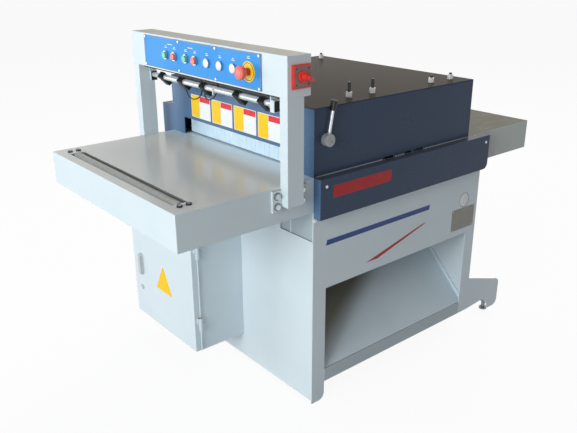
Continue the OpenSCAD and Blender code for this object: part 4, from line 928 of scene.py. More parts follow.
@dataclass
class Lasers:
    """Lenses and screws on the laser pointers, the tie, collar and caps of their rod, and a black strip of
    painted shade under the beam.
    """

    centres: tuple[float, ...] = (-317.0, -189.6, -53.0, 137.0, 263.0)
    rod_y: float = -418.0
    rod_z: float = 1030.0
    rod_r: float = 9.0
    rod_gap: float = 0.2
    reach: float = 37.0
    head: float = 14.0
    sunk: float = 0.1
    slope: float = math.radians(45)
    lens: Outline = ((3.4, 0.1), (3.4, 0.6), (2.2, 1.1), (0, 1.3))
    rim: Point3 = (3.6, 7.6, 1.0)
    clamp_screw: Outline = ((4.2, 0), (4.2, 4.0), (3.6, 4.8), (2.2, 4.8), (2.0, 2.2), (0, 2.0))
    tie_x: float = 8.0
    tie_w: float = 5.0
    tie_t: float = 1.6
    lock_w: float = 7.0
    lock_h: float = 6.0
    lock_t: float = 4.0
    lock_round: float = 1.0
    lock_edge: float = 0.6
    lock_back: float = 0.6
    lock_rise: float = 2.0
    tail_w: float = 4.4
    tail_l: float = 16.0
    tail_t: float = 1.2
    tail_round: float = 0.8
    tail_edge: float = 0.3
    collar_x: float = 298.5
    collar_w: float = 9.0
    collar_t: float = 4.0
    collar_edge: float = 0.8
    collar_screw: Point2 = (2.2, 1.6)
    hanger_xs: Point2 = (328.0, -384.0)
    hanger_z: float = 1026.5
    hanger_w: float = 22.0
    hanger_h: float = 32.0
    hanger_screw: Point2 = (4.0, 2.4)
    cap_t: float = 1.2
    cap_round: float = 2.0
    cap_edge: float = 0.4
    beam_low: float = 1070.0
    post_x: float = 396.0
    strip_y: float = -438.0
    strip_h: float = 9.0
    strip_t: float = 12.0
    strip_gap: float = 0.5
    strip_round: float = 1.2
    strip_edge: float = 0.8

    def build(self) -> None:
        """Makes the lasers' small pieces and what sits on their rod."""
        for number, x in enumerate(self.centres, 1):
            self.pointer(number, x)
        self.tie()
        self.collar()
        self.caps()
        self.strip()

    def pointer(self, number: int, x: float) -> None:
        """Makes one laser's lens, and its rim and clamp screw.

        Args:
            number: the laser's number from the left.
            x: its place along the rod.
        """
        aim = (0.0, math.cos(self.slope), -math.sin(self.slope))
        tip = (x, self.rod_y + aim[1] * self.reach, self.rod_z + aim[2] * self.reach)
        lens = Trim(f"laser_lens_{number}", f"laser_{number}")
        lens.turned(self.lens, along(tip, aim), Sides.CAP).made(LASER_GLASS, "red_plastic")
        rim = Trim(f"laser_rim_{number}", f"laser_{number}")
        rim.hoop(*self.rim, along(tip, aim))
        depth = self.head - self.sunk
        back = (x, self.rod_y - aim[1] * depth, self.rod_z - aim[2] * depth)
        rim.turned(self.clamp_screw, along(back, tuple(-a for a in aim)), Sides.HEXAGON)
        rim.made(BLACKENED, "blackened_steel")

    def tie(self) -> None:
        """Makes the nylon tie round the rod, with its lock and tail."""
        middle = self.tie_x + self.tie_w / 2
        front = self.rod_y - self.rod_r
        tie = Trim("rod_tie", "frame")
        tie.hoop(self.rod_r + self.rod_gap, self.rod_r + self.tie_t, self.tie_w,
                 along((self.tie_x, self.rod_y, self.rod_z), (1, 0, 0)))
        lock_at = Facing.FRONT.at(middle, front - self.lock_back, self.rod_z + self.lock_rise)
        tie.plate(rounded(self.lock_w, self.lock_h, self.lock_round), self.lock_t, lock_at, self.lock_edge)
        tail_at = Facing.FRONT.at(middle, front - self.tail_t, self.rod_z - self.tail_l / 2)
        tie.plate(rounded(self.tail_w, self.tail_l, self.tail_round), self.tail_t, tail_at, self.tail_edge)
        tie.made(WHITE_NYLON, "lens")

    def collar(self) -> None:
        """Makes the set collar at the rod's right-hand end, with its screw."""
        collar = Trim("rod_collar", "frame")
        collar.hoop(self.rod_r + self.rod_gap, self.rod_r + self.collar_t, self.collar_w,
                    along((self.collar_x, self.rod_y, self.rod_z), (1, 0, 0)), self.collar_edge)
        front = self.rod_y - self.rod_r - self.collar_t + self.rod_gap
        middle = self.collar_x + self.collar_w / 2
        place = along((middle, front, self.rod_z), (0, -1, 0))
        collar.turned(screw_head(*self.collar_screw), place, Sides.TINY)
        collar.made(SATIN_CHROME, "zinc")

    def caps(self) -> None:
        """Makes the caps on the rod's hangers, the right-hand one with a screw."""
        caps = Trim("hanger_caps", "frame")
        for x in self.hanger_xs:
            caps.plate(rounded(self.hanger_w, self.hanger_h, self.cap_round), self.cap_t,
                       Facing.RIGHT.at(x, self.rod_y, self.hanger_z), self.cap_edge)
        place = Facing.RIGHT.at(self.hanger_xs[0] + self.cap_t - self.sunk, self.rod_y, self.rod_z)
        caps.turned(screw_head(*self.hanger_screw), place, Sides.SCREW)
        caps.made(RUBBER, "belt_rubber")

    def strip(self) -> None:
        """Makes a black strip under the beam, which the leads run behind: painted shade, standing in for the
        beam's shadow.
        """
        length = 2 * (self.post_x - self.strip_gap)
        z = self.beam_low - self.strip_h / 2 - self.sunk
        strip = Trim("beam_shade_strip", "frame")
        strip.plate(rounded(length, self.strip_h, self.strip_round), self.strip_t,
                    Facing.FRONT.at(0.0, self.strip_y, z), self.strip_edge)
        strip.made(RUBBER, "belt_rubber")


@dataclass
class ControlPanel:
    """Printed marks, edging and small parts on the control panel, stop and isolator."""

    left: float = -340.0
    width: float = 662.0
    low: float = 1075.0
    height: float = 104.0
    face_y: float = -471.0
    control_z: float = 1123.88
    shares: tuple[float, ...] = (0.219, 0.3, 0.406, 0.488, 0.59, 0.696, 0.8)
    pairs: tuple[tuple[int, int], ...] = ((0, 1), (2, 3))
    stop_share: float = 0.914
    mark_rise: float = 24.0
    mark_step: float = 5.0
    stop_rise: float = 38.0
    pair_rise: float = 36.0
    mark_t: float = 0.25
    long_mark: Point3 = (16.0, 2.2, 0.8)
    short_mark: Point3 = (10.0, 1.8, 0.7)
    pair_mark: Point3 = (30.0, 2.0, 0.8)
    edging_w: float = 2.2
    edging_t: float = 0.7
    edging_round: float = 0.6
    edging_edge: float = 0.3
    collar_y: float = -473.5
    collar_ring: Point2 = (24.2, 26.2)
    collar_edge: float = 0.05
    head_y: float = -509.3
    grip_ring: Point3 = (11.0, 14.5, 0.6)
    isolator: Point3 = (443.0, -422.0, 1127.0)
    face_w: float = 56.0
    face_round: float = 2.5
    face_t: float = 0.6
    hole_r: float = 17.2
    hole_steps: int = 24
    screw: Point2 = (2.6, 1.4)
    screw_reach: float = 22.0
    screw_rise: float = 0.5

    def build(self) -> None:
        """Makes the panel's trim."""
        self.marks()
        self.edging()
        self.stop()
        self.main_switch()

    def marks(self) -> None:
        """Makes the plain printed bars above each control and each pair of buttons."""
        marks = Trim("panel_marks", "frame")
        spots = [(self.left + share * self.width, self.mark_rise) for share in self.shares]
        spots.append((self.left + self.stop_share * self.width, self.stop_rise))
        for x, rise in spots:
            for bar, step in ((self.long_mark, 0.0), (self.short_mark, self.mark_step)):
                marks.plate(rounded(*bar, TINY_STEPS), self.mark_t,
                            Facing.FRONT.at(x, self.face_y, self.control_z + rise + step))
        for a, b in self.pairs:
            middle = self.left + self.width * (self.shares[a] + self.shares[b]) / 2
            marks.plate(rounded(*self.pair_mark, TINY_STEPS), self.mark_t,
                        Facing.FRONT.at(middle, self.face_y, self.control_z + self.pair_rise))
        marks.made(WHITE_VINYL, "lens")

    def edging(self) -> None:
        """Makes the thin frame round the panel."""
        edging = Trim("panel_edging", "frame")
        middle_x, middle_z = self.left + self.width / 2, self.low + self.height / 2
        half, between = self.edging_w / 2, self.height - 2 * self.edging_w
        across = rounded(self.width, self.edging_w, self.edging_round, TINY_STEPS)
        upright = rounded(self.edging_w, between, self.edging_round, TINY_STEPS)
        runs = [(across, middle_x, z) for z in (self.low + half, self.low + self.height - half)]
        runs += [(upright, x, middle_z) for x in (self.left + half, self.left + self.width - half)]
        for outline, x, z in runs:
            edging.plate(outline, self.edging_t, Facing.FRONT.at(x, self.face_y, z), self.edging_edge)
        edging.made(ALUMINIUM, "zinc")

    def stop(self) -> None:
        """Makes the stop's grip ring and the plain ring printed on its collar."""
        x = self.left + self.stop_share * self.width
        ring = Trim("stop_collar_ring", "frame")
        ring.hoop(*self.collar_ring, self.mark_t, Facing.FRONT.at(x, self.collar_y, self.control_z),
                  self.collar_edge)
        ring.made(BLACK_PLASTIC, "black_plastic")
        grip = Trim("stop_grip_ring", "stop_head")
        grip.hoop(*self.grip_ring, Facing.FRONT.at(x, self.head_y, self.control_z))
        grip.made(SIGNAL_RED, "red_plastic")

    def main_switch(self) -> None:
        """Makes the isolator's smoked face, with a hole for the handle, and its screws."""
        x, y, z = self.isolator
        face = Trim("isolator_face", "frame")
        place = Facing.RIGHT.at(x, y, z)
        hole = arc((0.0, 0.0), self.hole_r, 0, 360, self.hole_steps)[:-1]
        outlines = (rounded(self.face_w, self.face_w, self.face_round), hole)
        sheets = []
        for depth in (0.0, self.face_t):
            rings = [[face.mesh.verts.new(place @ Vector((u, v, depth))) for u, v in outline]
                     for outline in outlines]
            edges = [face.mesh.edges.new((ring[k], ring[(k + 1) % len(ring)]))
                     for ring in rings for k in range(len(ring))]
            bmesh.ops.triangle_fill(face.mesh, edges=edges, use_beauty=True)
            sheets.append(rings)
        for low, high in zip(*sheets):
            face.bridge(low, high)
        face.made(SMOKED_PLASTIC, "zinc")
        screws = Trim("isolator_screws", "frame")
        for dy in (-self.screw_reach, self.screw_reach):
            for dz in (-self.screw_reach, self.screw_reach):
                screws.turned(screw_head(*self.screw),
                              Facing.RIGHT.at(x + self.screw_rise, y + dy, z + dz), Sides.SCREW)
        screws.made(BLACKENED, "blackened_steel")


@dataclass
class HoodTrim:
    """Plain colour plates on the hood's front, the band on the side cover and a pale line of painted light
    above it.
    """

    face_y: float = -339.0
    first: float = -267.0
    pitch: float = 132.0
    width: float = 122.0
    low: float = 885.0
    height: float = 82.0
    count: int = 4
    colour_share: float = 0.45
    head_h: float = 19.0
    sheet_t: float = 0.5
    sheet_round: float = 2.0
    sheet_edge: float = 0.15
    print_t: float = 0.2
    print_round: float = 1.2
    print_edge: float = 0.05
    print_shift: float = 0.6
    margin: float = 3.0
    inset: float = 2.0
    band: Point3 = (131.0, 20.0, 3.0)
    band_at: Point3 = (431.0, -157.0, 764.0)
    glint_runs: tuple[Point2, ...] = ((-330.0, -40.0), (20.0, 66.0), (171.0, 410.0))
    glint_x: float = 400.0
    glint_z: float = 811.6
    glint_h: float = 2.6
    glint_t: float = 1.0
    glint_round: float = 1.1
    glint_edge: float = 0.5

    def build(self) -> None:
        """Makes the blank plates, the band and the pale line of painted light under the hood."""
        self.plates()
        band = Trim("cover_band", "frame")
        band.plate(slanted(*self.band), FILM_T, Facing.RIGHT.at(*self.band_at), FILM_EDGE)
        band.made(CRIMSON_VINYL, "red_plastic")
        # Pale strip along the hood's lower edge: painted light, standing in for the bright gap between hood
        # and side cover.
        glint = Trim("hood_gap_light", "frame")
        for y0, y1 in self.glint_runs:
            glint.plate(rounded(y1 - y0, self.glint_h, self.glint_round, SMALL_STEPS), self.glint_t,
                       Facing.RIGHT.at(self.glint_x, (y0 + y1) / 2, self.glint_z), self.glint_edge)
        glint.made(PAINTED_GAP_LIGHT, "lens")

    def plates(self) -> None:
        """Makes the white plates with a yellow field and a red head each."""
        backs = Trim("hood_plates", "frame")
        fields = Trim("hood_plate_fields", "frame")
        heads = Trim("hood_plate_heads", "frame")
        middle = self.low + self.height / 2
        front = self.face_y - self.sheet_t
        field_w = self.width * self.colour_share
        head_w = self.width - field_w
        head_z = self.low + self.height - self.head_h / 2 - self.inset
        sheet = rounded(self.width, self.height, self.sheet_round)
        tall = rounded(field_w - self.margin, self.height - 2 * self.inset, self.print_round)
        low = rounded(head_w - self.margin, self.head_h, self.print_round)
        for i in range(self.count):
            left = self.first + i * self.pitch
            field_x = left + field_w / 2 + self.print_shift
            head_x = left + field_w + head_w / 2 - self.print_shift
            backs.plate(sheet, self.sheet_t, Facing.FRONT.at(left + self.width / 2, self.face_y, middle),
                        self.sheet_edge)
            fields.plate(tall, self.print_t, Facing.FRONT.at(field_x, front, middle), self.print_edge)
            heads.plate(low, self.print_t, Facing.FRONT.at(head_x, front, head_z), self.print_edge)
        backs.made(WHITE_VINYL, "lens")
        fields.made(YELLOW_VINYL, "yellow_plastic")
        heads.made(RED_VINYL, "red_plastic")


@dataclass
class LeverTrim:
    """Ring, screw and root collar on the lever's hub."""

    hub_face: float = 421.3
    cap_face: float = 423.3
    rod_x: float = 410.8
    shaft_y: float = -293.0
    shaft_z: float = 922.0
    lean: float = math.radians(11)
    bead_ring: Point3 = (13.4, 15.4, 0.9)
    bead_edge: float = 0.4
    root: Outline = ((6.6, 17.0), (6.6, 20.0), (5.6, 22.4), (4.7, 22.8))
    sleeve: Point3 = (4.55, 5.0, 64.6)
    sleeve_edge: float = 0.2
    sleeve_from: float = 23.2
    hub_screw: Point2 = (4.6, 2.2)

    def on_rod(self, distance: float) -> Matrix:
        """Finds a place on the lever's rod.

        Args:
            distance: how far it lies from the shaft.

        Returns:
            A place whose axis runs along the rod.
        """
        sine, cosine = math.sin(self.lean), math.cos(self.lean)
        start = (self.rod_x, self.shaft_y + distance * sine, self.shaft_z + distance * cosine)
        return along(start, (0.0, sine, cosine))

    def build(self) -> None:
        """Makes the lever's small pieces."""
        bead = Trim("lever_hub_bead", "fingers")
        hub = Facing.RIGHT.at(self.hub_face, self.shaft_y, self.shaft_z)
        bead.hoop(*self.bead_ring, hub, self.bead_edge)
        bead.turned(self.root, self.on_rod(0.0), Sides.COLLAR).made(LEVER_STEEL, "zinc")
        sleeve = Trim("lever_sleeve", "fingers")
        sleeve.hoop(*self.sleeve, self.on_rod(self.sleeve_from), self.sleeve_edge).made(SATIN_CHROME, "zinc")
        place = Facing.RIGHT.at(self.cap_face, self.shaft_y, self.shaft_z)
        screw = Trim("lever_hub_screw", "fingers")
        screw.turned(screw_head(*self.hub_screw), place, Sides.CAP).made(DULL_ZINC, "zinc")


@dataclass
class SideTrim:
    """Stripes, plates and plugs on the right-hand side of the base, and grey sheets of painted shade behind
    its notch.
    """

    face_x: float = 400.0
    navy: Point3 = (254.0, 9.0, 4.0)
    navy_at: Point2 = (-30.0, 584.0)
    stroke: Outline = ((-154, -34), (-96, -34), (154, 34), (134, 34))
    stroke_at: Point2 = (55.0, 494.0)
    plate_at: Point2 = (427.0, 491.0)
    plate_w: float = 135.0
    plate_h: float = 86.0
    plate_t: float = 0.8
    plate_round: float = 3.0
    plate_edge: float = 0.25
    rivet: Point2 = (2.4, 1.5)
    rivet_rise: float = 0.7
    rivet_reach: Point2 = (62.0, 38.0)
    disc_at: Point2 = (427.0, 565.0)
    disc: Outline = ((0, 0), (29, 0), (29, 0.25), (28.8, 0.3), (0, 0.3))
    disc_rim: Point3 = (26.6, 28.4, 0.45)
    disc_edge: float = 0.05
    rail_at: Point2 = (86.0, 93.0)
    rail_l: float = 734.0
    rail_h: float = 49.0
    rail_t: float = 0.4
    rail_round: float = 1.5
    rail_edge: float = 0.1
    notch_runs: tuple[Point2, ...] = ((232.0, 281.4), (290.6, 395.4))
    notch_low: float = 594.0
    notch_top: float = 780.0
    notch_y: float = -331.0
    notch_t: float = 2.0
    notch_round: float = 1.0
    notch_edge: float = 0.4
    plug: Point2 = (6.5, 4.0)
    plug_z: float = 671.0

    def build(self) -> None:
        """Makes the side's trim."""
        navy = Trim("side_stripe_navy", "frame")
        navy.plate(slanted(*self.navy), FILM_T, Facing.RIGHT.at(self.face_x, *self.navy_at), FILM_EDGE)
        navy.made(NAVY_VINYL, "navy_paint")
        stroke = Trim("side_stripe_red", "frame")
        stroke.plate(self.stroke, FILM_T, Facing.RIGHT.at(self.face_x, *self.stroke_at), FILM_EDGE)
        stroke.made(CRIMSON_VINYL, "red_plastic")
        self.plates()
        # A darker copy of the coat laid over the rail: painted shade.
        rail = Trim("rail_shade_plate", "frame")
        rail.plate(rounded(self.rail_l, self.rail_h, self.rail_round, SMALL_STEPS), self.rail_t,
                   Facing.RIGHT.at(self.face_x, *self.rail_at), self.rail_edge)
        rail.made(RAIL_COAT, "white_paint")
        # Grey sheets behind the notch: painted shade, standing in for the shadow in the recess.
        shade_plates = Trim("notch_shade_plates", "frame")
        tall, middle = self.notch_top - self.notch_low, (self.notch_low + self.notch_top) / 2
        for x0, x1 in self.notch_runs:
            shade_plates.plate(rounded(x1 - x0, tall, self.notch_round), self.notch_t,
                          Facing.FRONT.at((x0 + x1) / 2, self.notch_y, middle), self.notch_edge)
        shade_plates.made(NOTCH_SHADE_COAT, "white_paint")
        place = Facing.RIGHT.at(self.face_x, self.notch_y, self.plug_z)
        plug = Trim("cover_plug", "frame")
        plug.turned(screw_head(*self.plug), place, Sides.CAP).made(WHITE_NYLON, "lens")

    def plates(self) -> None:
        """Makes the blank plate with its rivets, and the round disc."""
        y, z = self.plate_at
        plate = Trim("rating_plate", "frame")
        plate.plate(rounded(self.plate_w, self.plate_h, self.plate_round), self.plate_t,
                    Facing.RIGHT.at(self.face_x, y, z), self.plate_edge)
        plate.made(ALUMINIUM, "zinc")
        rivets = Trim("rating_rivets", "frame")
        reach_y, reach_z = self.rivet_reach
        for dy in (-reach_y, reach_y):
            for dz in (-reach_z, reach_z):
                rivets.turned(screw_head(*self.rivet),
                              Facing.RIGHT.at(self.face_x + self.rivet_rise, y + dy, z + dz), Sides.SCREW)
        rivets.made(ZINC, "zinc")
        place = Facing.RIGHT.at(self.face_x, *self.disc_at)
        disc = Trim("round_disc", "frame")
        disc.turned(self.disc, place, Sides.RING).made(WHITE_VINYL, "lens")
        rim = Trim("round_disc_rim", "frame")
        rim.hoop(*self.disc_rim, place, self.disc_edge).made(NAVY_VINYL, "navy_paint")


@dataclass
class TableTrim:
    """Trim of the idler roller, washers on the gantry's foot bolts, whose dark rings are partly painted
    shade, and the outfeed table's apron.
    """

    idler_y: float = -761.0
    block_x: float = 336.0
    block_l: float = 34.0
    bolt_dy: float = 14.4
    top: float = 810.0
    end_w: float = 13.0
    end_l: float = 32.0
    end_t: float = 1.0
    end_round: float = 2.0
    end_edge: float = 0.3
    end_dx: float = 4.0
    cap: Outline = ((8.4, 0.0), (8.4, 4.0), (7.6, 4.9), (4.4, 4.9), (4.0, 3.2), (0, 3.0))
    slot_l: float = 656.0
    slot_w: float = 50.0
    slot_d: float = 66.0
    slot_t: float = 0.6
    slot_floor_t: float = 1.0
    slot_round: float = 0.6
    slot_edge: float = 0.2
    slot_drop: float = 0.2
    foot_x: float = 406.0
    foot_ys: Point2 = (-485.0, -391.0)
    foot_zs: Point2 = (755.2, 786.8)
    washer: Point3 = (9.2, 12.4, 1.6)
    washer_edge: float = 0.4
    apron_w: float = 799.0
    apron_l: float = 93.6
    apron_t: float = 0.6
    apron_round: float = 1.0
    apron_edge: float = 0.2
    apron_y: float = 463.6

    def build(self) -> None:
        """Makes the tables' trim."""
        self.idler_ends()
        self.slot_lining()
        # Washers under the gantry's foot bolts; their dull rings are partly painted shade round each head.
        washers = Trim("foot_washers_and_painted_shade", "frame")
        for facing, x in ((Facing.RIGHT, self.foot_x), (Facing.LEFT, -self.foot_x)):
            for y in self.foot_ys:
                for z in self.foot_zs:
                    washers.hoop(*self.washer, facing.at(x, y, z), self.washer_edge)
        washers.made(DULL_ZINC, "zinc")
        apron = Trim("outfeed_apron", "frame")
        apron.plate(rounded(self.apron_w, self.apron_l, self.apron_round, SMALL_STEPS), self.apron_t,
                    Facing.UP.at(0.0, self.apron_y, self.top), self.apron_edge)
        apron.made(OUTFEED_COAT, "white_paint")

    def idler_ends(self) -> None:
        """Makes the end plates and cap screws of the idler roller."""
        plates, caps = Trim("idler_end_plates", "frame"), Trim("idler_caps", "frame")
        for side in (-1, 1):
            end_x = side * (self.block_x + self.end_dx)
            bolt_x = side * (self.block_x + self.block_l / 2)
            plates.plate(rounded(self.end_w, self.end_l, self.end_round), self.end_t,
                         Facing.UP.at(end_x, self.idler_y, self.top), self.end_edge)
            for dy in (-self.bolt_dy, self.bolt_dy):
                caps.turned(self.cap, Facing.UP.at(bolt_x, self.idler_y + dy, self.top), Sides.COLLAR)
        plates.made(SATIN_CHROME, "zinc")
        caps.made(BLACKENED, "blackened_steel")

    def slot_lining(self) -> None:
        """Makes the trough that the idler roller lies in."""
        lining = Trim("idler_slot_lining", "frame")
        half = self.slot_w / 2
        middle = self.top - self.slot_d / 2 - self.slot_drop
        wall = rounded(self.slot_l, self.slot_d, self.slot_round, TINY_STEPS)
        for facing, y in ((Facing.FRONT, self.idler_y + half), (Facing.BACK, self.idler_y - half)):
            lining.plate(wall, self.slot_t, facing.at(0.0, y, middle), self.slot_edge)
        lining.plate(rounded(self.slot_l, self.slot_w, self.slot_round, TINY_STEPS), self.slot_floor_t,
                     Facing.UP.at(0.0, self.idler_y, self.top - self.slot_d), self.slot_edge)
        lining.made(ROLLER_STEEL, "bright_steel")


@dataclass
class CabinetTrim:
    """Lock and blank plate on the cabinet door, the gear behind it and the lip beside it."""

    door_y: float = -549.0
    lock_at: Point2 = (-358.0, 225.0)
    lock: Outline = (
        (11, 0), (11, 1.2), (9.8, 2.0), (8.2, 2.0), (7.6, 1.2), (2.4, 1.2), (2.0, 0.4), (0, 0.4))
    plate_at: Point2 = (-187.0, 312.0)
    plate_corners: Outline = ((-58, -46), (56, -46), (0, 60))
    plate_t: float = 0.5
    plate_edge: float = 0.15
    corner_share: float = 0.06
    gear_xs: tuple[float, ...] = (-348.6, -272.3, -196.0, -119.7, -43.4)
    gear_heights: tuple[float, ...] = (96, 96, 96, 80, 80)
    gear_dx: float = -1.2
    gear_z: float = 471.8
    gear_y: float = -422.0
    front_w: float = 40.0
    front_share: float = 0.42
    front_t: float = 3.0
    front_round: float = 3.0
    front_edge: float = 0.8
    terminal: Point2 = (4.2, 2.2)
    terminal_share: float = 0.36
    terminal_pitch: float = 12.5
    terminals: int = 4
    duct_x: float = -196.0
    duct_y: float = -342.4
    duct_dz: float = 92.0
    duct_l: float = 380.0
    duct_h: float = 34.0
    duct_t: float = 44.0
    duct_round: float = 2.0
    finger_pitch: float = 13.6
    fingers: int = 27
    finger_w: float = 9.0
    finger_t: float = 1.4
    finger_round: float = 1.0
    finger_edge: float = 0.4
    finger_sunk: float = 0.2
    finger_dz: float = 9.5
    right: float = 16.0
    front_y: float = -528.0
    lip_w: float = 6.0
    lip_t: float = 3.0
    lip_round: float = 0.8
    lip_edge: float = 0.4
    end_gap: float = 2.0
    hinge_gap: float = 1.0
    low: float = 106.0
    height: float = 590.0
    hinge_shares: Point2 = (0.14, 0.61)
    hinge_l: float = 52.0

    def build(self) -> None:
        """Makes the cabinet's trim."""
        self.door()
        self.gear()
        self.ducts()
        self.rain_lip()

    def door(self) -> None:
        """Makes the lock and the blank three-cornered plate on the door."""
        x, z = self.lock_at
        lock = Trim("door_lock", "door")
        lock.turned(self.lock, Facing.FRONT.at(x, self.door_y, z), Sides.LOCK).made(ZINC, "zinc")
        outline: list[Point2] = []
        corners = [Vector(corner) for corner in self.plate_corners]
        for i, here in enumerate(corners):
            before, after = corners[i - 1], corners[(i + 1) % len(corners)]
            inwards = (before + after - 2 * here) * self.corner_share / 3
            for point in (here.lerp(before, self.corner_share), here + inwards,
                          here.lerp(after, self.corner_share)):
                outline.append((point.x, point.y))
        x, z = self.plate_at
        plate = Trim("door_blank_plate", "door")
        plate.plate(outline, self.plate_t, Facing.FRONT.at(x, self.door_y, z), self.plate_edge)
        plate.made(YELLOW_VINYL, "yellow_plastic")

    def gear(self) -> None:
        """Makes the fronts and terminal screws of the switchgear."""
        terminals, fronts = Trim("gear_terminals", "frame"), Trim("gear_fronts", "frame")
        for gear_x, tall in zip(self.gear_xs, self.gear_heights):
            x = gear_x + self.gear_dx
            fronts.plate(rounded(self.front_w, tall * self.front_share, self.front_round), self.front_t,
                         Facing.FRONT.at(x, self.gear_y, self.gear_z), self.front_edge)
            for row in (-1, 1):
                z = self.gear_z + row * tall * self.terminal_share
                for k in range(self.terminals):
                    dx = (k - (self.terminals - 1) / 2) * self.terminal_pitch
                    terminals.turned(screw_head(*self.terminal), Facing.FRONT.at(x + dx, self.gear_y, z),
                                     Sides.TINY)
        fronts.made(GREY_PLASTIC, "lens")
        terminals.made(ZINC, "zinc")

    def ducts(self) -> None:
        """Makes the two wire ducts, with raised fingers along their fronts."""
        ducts = Trim("wire_ducts", "frame")
        face_y = self.duct_y - self.duct_t + self.finger_sunk
        box = rounded(self.duct_l, self.duct_h, self.duct_round)
        finger = rounded(self.finger_w, self.finger_w, self.finger_round)
        for duct_dz in (-self.duct_dz, self.duct_dz):
            z = self.gear_z + duct_dz
            ducts.plate(box, self.duct_t, Facing.FRONT.at(self.duct_x, self.duct_y, z), self.duct_round)
            for k in range(self.fingers):
                x = self.duct_x + (k - self.fingers // 2) * self.finger_pitch
                for dz in (-self.finger_dz, self.finger_dz):
                    ducts.plate(finger, self.finger_t, Facing.FRONT.at(x, face_y, z + dz), self.finger_edge)
        ducts.made(GREY_PLASTIC, "lens")

    def rain_lip(self) -> None:
        """Makes the lip beside the door, in runs that stop at the hinges."""
        lip = Trim("cabinet_rain_lip", "frame")
        starts = [self.low + share * self.height for share in self.hinge_shares]
        tops = [*(z - self.hinge_gap for z in starts), self.low + self.height - self.end_gap]
        feet = [self.low + self.end_gap, *(z + self.hinge_l + self.hinge_gap for z in starts)]
        x, y = self.right + self.lip_w / 2, self.front_y + self.lip_t
        for z0, z1 in zip(feet, tops):
            lip.plate(rounded(self.lip_w, z1 - z0, self.lip_round, SMALL_STEPS), self.lip_t,
                      Facing.FRONT.at(x, y, (z0 + z1) / 2), self.lip_edge)
        lip.made(BASE_COAT, "white_paint")


@dataclass(frozen=True)
class Lamp:
    """One square soft lamp that looks at a point, in metres and watts."""

    name: str
    place: Point3
    aim: Point3
    size: float
    power: float
    tint: Point3

    def hang(self) -> None:
        """Adds the lamp to the scene."""
        data = bpy.data.lights.new(self.name, "AREA")
        data.shape = "SQUARE"
        data.size = self.size
        data.energy = self.power
        data.color = self.tint
        lamp = bpy.data.objects.new(self.name, data)
        lamp.location = self.place
        lamp.rotation_euler = (Vector(self.aim) - Vector(self.place)).to_track_quat("-Z", "Y").to_euler()
        bpy.context.scene.collection.objects.link(lamp)


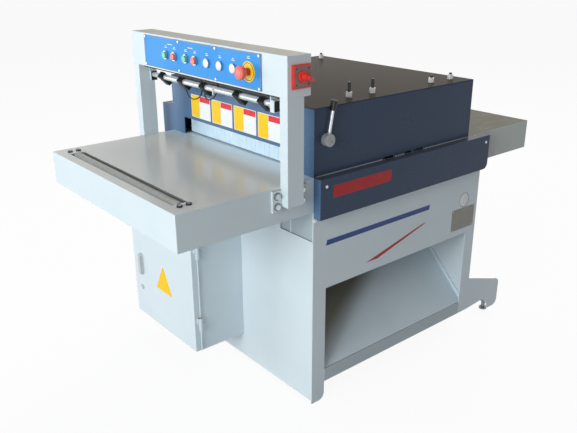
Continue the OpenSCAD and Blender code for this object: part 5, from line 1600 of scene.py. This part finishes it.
@dataclass
class Studio:
    """Camera at the photograph's place, soft light and a pale floor."""

    camera_mm: Point3 = (1852.7, -1644.9, 1440.1)
    yaw: float = 50.28
    pitch: float = -21.07
    roll: float = -0.22
    focal_px: float = 684.7
    sensor: float = 36.0
    far: float = 200.0
    ambient: float = 0.215
    surround: Point3 = (0.97, 0.985, 1.0)
    lamps: tuple[Lamp, ...] = (
        Lamp("key_light", (1.7, -6.8, 2.6), (0.0, -0.3, 0.7), 3.6, 315.0, (0.95, 0.975, 0.97)),
        Lamp("sky_light", (-4.2, -3.6, 1.25), (0.0, -0.3, 0.8), 2.4, 85.0, (0.9, 0.96, 1.0)),
        Lamp("top_light", (-1.2, 2.6, 4.6), (0.0, 0.0, 0.8), 4.0, 136.0, (1.0, 0.99, 0.97)),
        Lamp("low_light", (2.6, -2.9, 0.6), (0.3, 0.0, 0.5), 0.9, 8.5, (0.95, 0.98, 1.0)))
    floor_share: float = 0.93
    floor_reach: float = 40.0
    floor_level: float = -0.0004
    floor_cloud_mm: float = 900.0
    floor_tones: tuple[str, str] = ("#B8B8B8", "#B2B2B2")
    floor_seen: str = "#FCFCFC"
    floor_roughness: float = 0.9

    def camera(self) -> None:
        """Places the camera."""
        lens = bpy.data.cameras.new("photo_camera")
        lens.sensor_width = self.sensor
        lens.sensor_fit = "HORIZONTAL"
        lens.lens = self.focal_px / PHOTO_W * self.sensor
        lens.clip_end = self.far
        camera = bpy.data.objects.new("photo_camera", lens)
        yaw, pitch = math.radians(self.yaw), math.radians(self.pitch)
        ahead = Vector((-math.sin(yaw) * math.cos(pitch), math.cos(yaw) * math.cos(pitch), math.sin(pitch)))
        tilt = Matrix.Rotation(math.radians(self.roll), 4, "Z")
        turn = ahead.to_track_quat("-Z", "Y").to_matrix().to_4x4() @ tilt
        camera.matrix_world = Matrix.Translation(Vector(self.camera_mm) * MM) @ turn
        bpy.context.scene.collection.objects.link(camera)
        bpy.context.scene.camera = camera

    def light(self) -> None:
        """Lights the object softly from the front, the left and above, in a white surround."""
        scene = bpy.context.scene
        scene.view_settings.view_transform = "Standard"
        world = bpy.data.worlds.new("studio_surround")
        world.use_nodes = True
        tree = world.node_tree
        tree.nodes.clear()
        dim = add_node(tree, "ShaderNodeBackground", {
            "Color": (*self.surround, 1.0), "Strength": self.ambient})
        white = add_node(tree, "ShaderNodeBackground", {"Color": (1.0, 1.0, 1.0, 1.0), "Strength": 1.0})
        mixed = add_node(tree, "ShaderNodeMixShader", {
            0: self.shown(tree), 1: dim.outputs["Background"], 2: white.outputs["Background"]})
        add_node(tree, "ShaderNodeOutputWorld", {"Surface": mixed.outputs["Shader"]})
        scene.world = world
        for lamp in self.lamps:
            lamp.hang()

    def shown(self, tree: bpy.types.NodeTree) -> bpy.types.NodeSocket:
        """Tells what the camera sees directly, in a reflection or through glass.

        Args:
            tree: the tree that asks.

        Returns:
            A share of 1 for such rays, and 0 for others.
        """
        ray = add_node(tree, "ShaderNodeLightPath")
        seen = add_node(tree, "ShaderNodeMath", {
            0: ray.outputs["Is Camera Ray"], 1: ray.outputs["Is Glossy Ray"]}, operation="MAXIMUM")
        through = add_node(tree, "ShaderNodeMath", {
            0: seen.outputs["Value"], 1: ray.outputs["Is Transmission Ray"]}, operation="MAXIMUM")
        return through.outputs["Value"]

    def floor(self) -> None:
        """Lays a pale floor that keeps the object's shadow."""
        material, tree, shader = blank("pale_studio_floor")
        at = add_node(tree, "ShaderNodeTexCoord").outputs["Object"]
        clouds = add_node(tree, "ShaderNodeTexNoise", {
            "Vector": at, "Scale": per_metre(self.floor_cloud_mm), "Detail": 3.0})
        tone = add_node(tree, "ShaderNodeMix", {
            "Factor": clouds.outputs["Fac"], "A": linear(self.floor_tones[0]),
            "B": linear(self.floor_tones[1])}, data_type="RGBA")
        shown = self.shown(tree)
        pale = add_node(tree, "ShaderNodeMix", {
            "Factor": shown, "A": tone.outputs["Result"], "B": linear(self.floor_seen)}, data_type="RGBA")
        tree.links.new(pale.outputs["Result"], shader.inputs["Base Color"])
        shader.inputs["Roughness"].default_value = self.floor_roughness
        share = add_node(tree, "ShaderNodeMath", {0: shown, 1: self.floor_share}, operation="MULTIPLY")
        glow = add_node(tree, "ShaderNodeEmission", {"Strength": 1.0})
        mixed = add_node(tree, "ShaderNodeMixShader", {
            0: share.outputs["Value"], 1: shader.outputs["BSDF"], 2: glow.outputs["Emission"]})
        tree.links.new(mixed.outputs["Shader"], tree.nodes["Material Output"].inputs["Surface"])
        data = bpy.data.meshes.new("studio_floor")
        reach = self.floor_reach
        corners = [(-reach, -reach), (reach, -reach), (reach, reach), (-reach, reach)]
        data.from_pydata([(*corner, self.floor_level) for corner in corners], [], [(0, 1, 2, 3)])
        data.materials.append(material)
        floor = bpy.data.objects.new("studio_floor", data)
        bpy.context.scene.collection.objects.link(floor)


def main() -> None:
    """Builds the looks in order."""
    logging.basicConfig(level=logging.INFO, format="%(message)s")
    studio = Studio()
    studio.camera()
    LaserLeads().build()
    Solids().dress()
    for assembly in (Lasers, ControlPanel, HoodTrim, LeverTrim, SideTrim, TableTrim, CabinetTrim):
        assembly().build()
    studio.light()
    studio.floor()


if __name__ == "__main__":
    main()
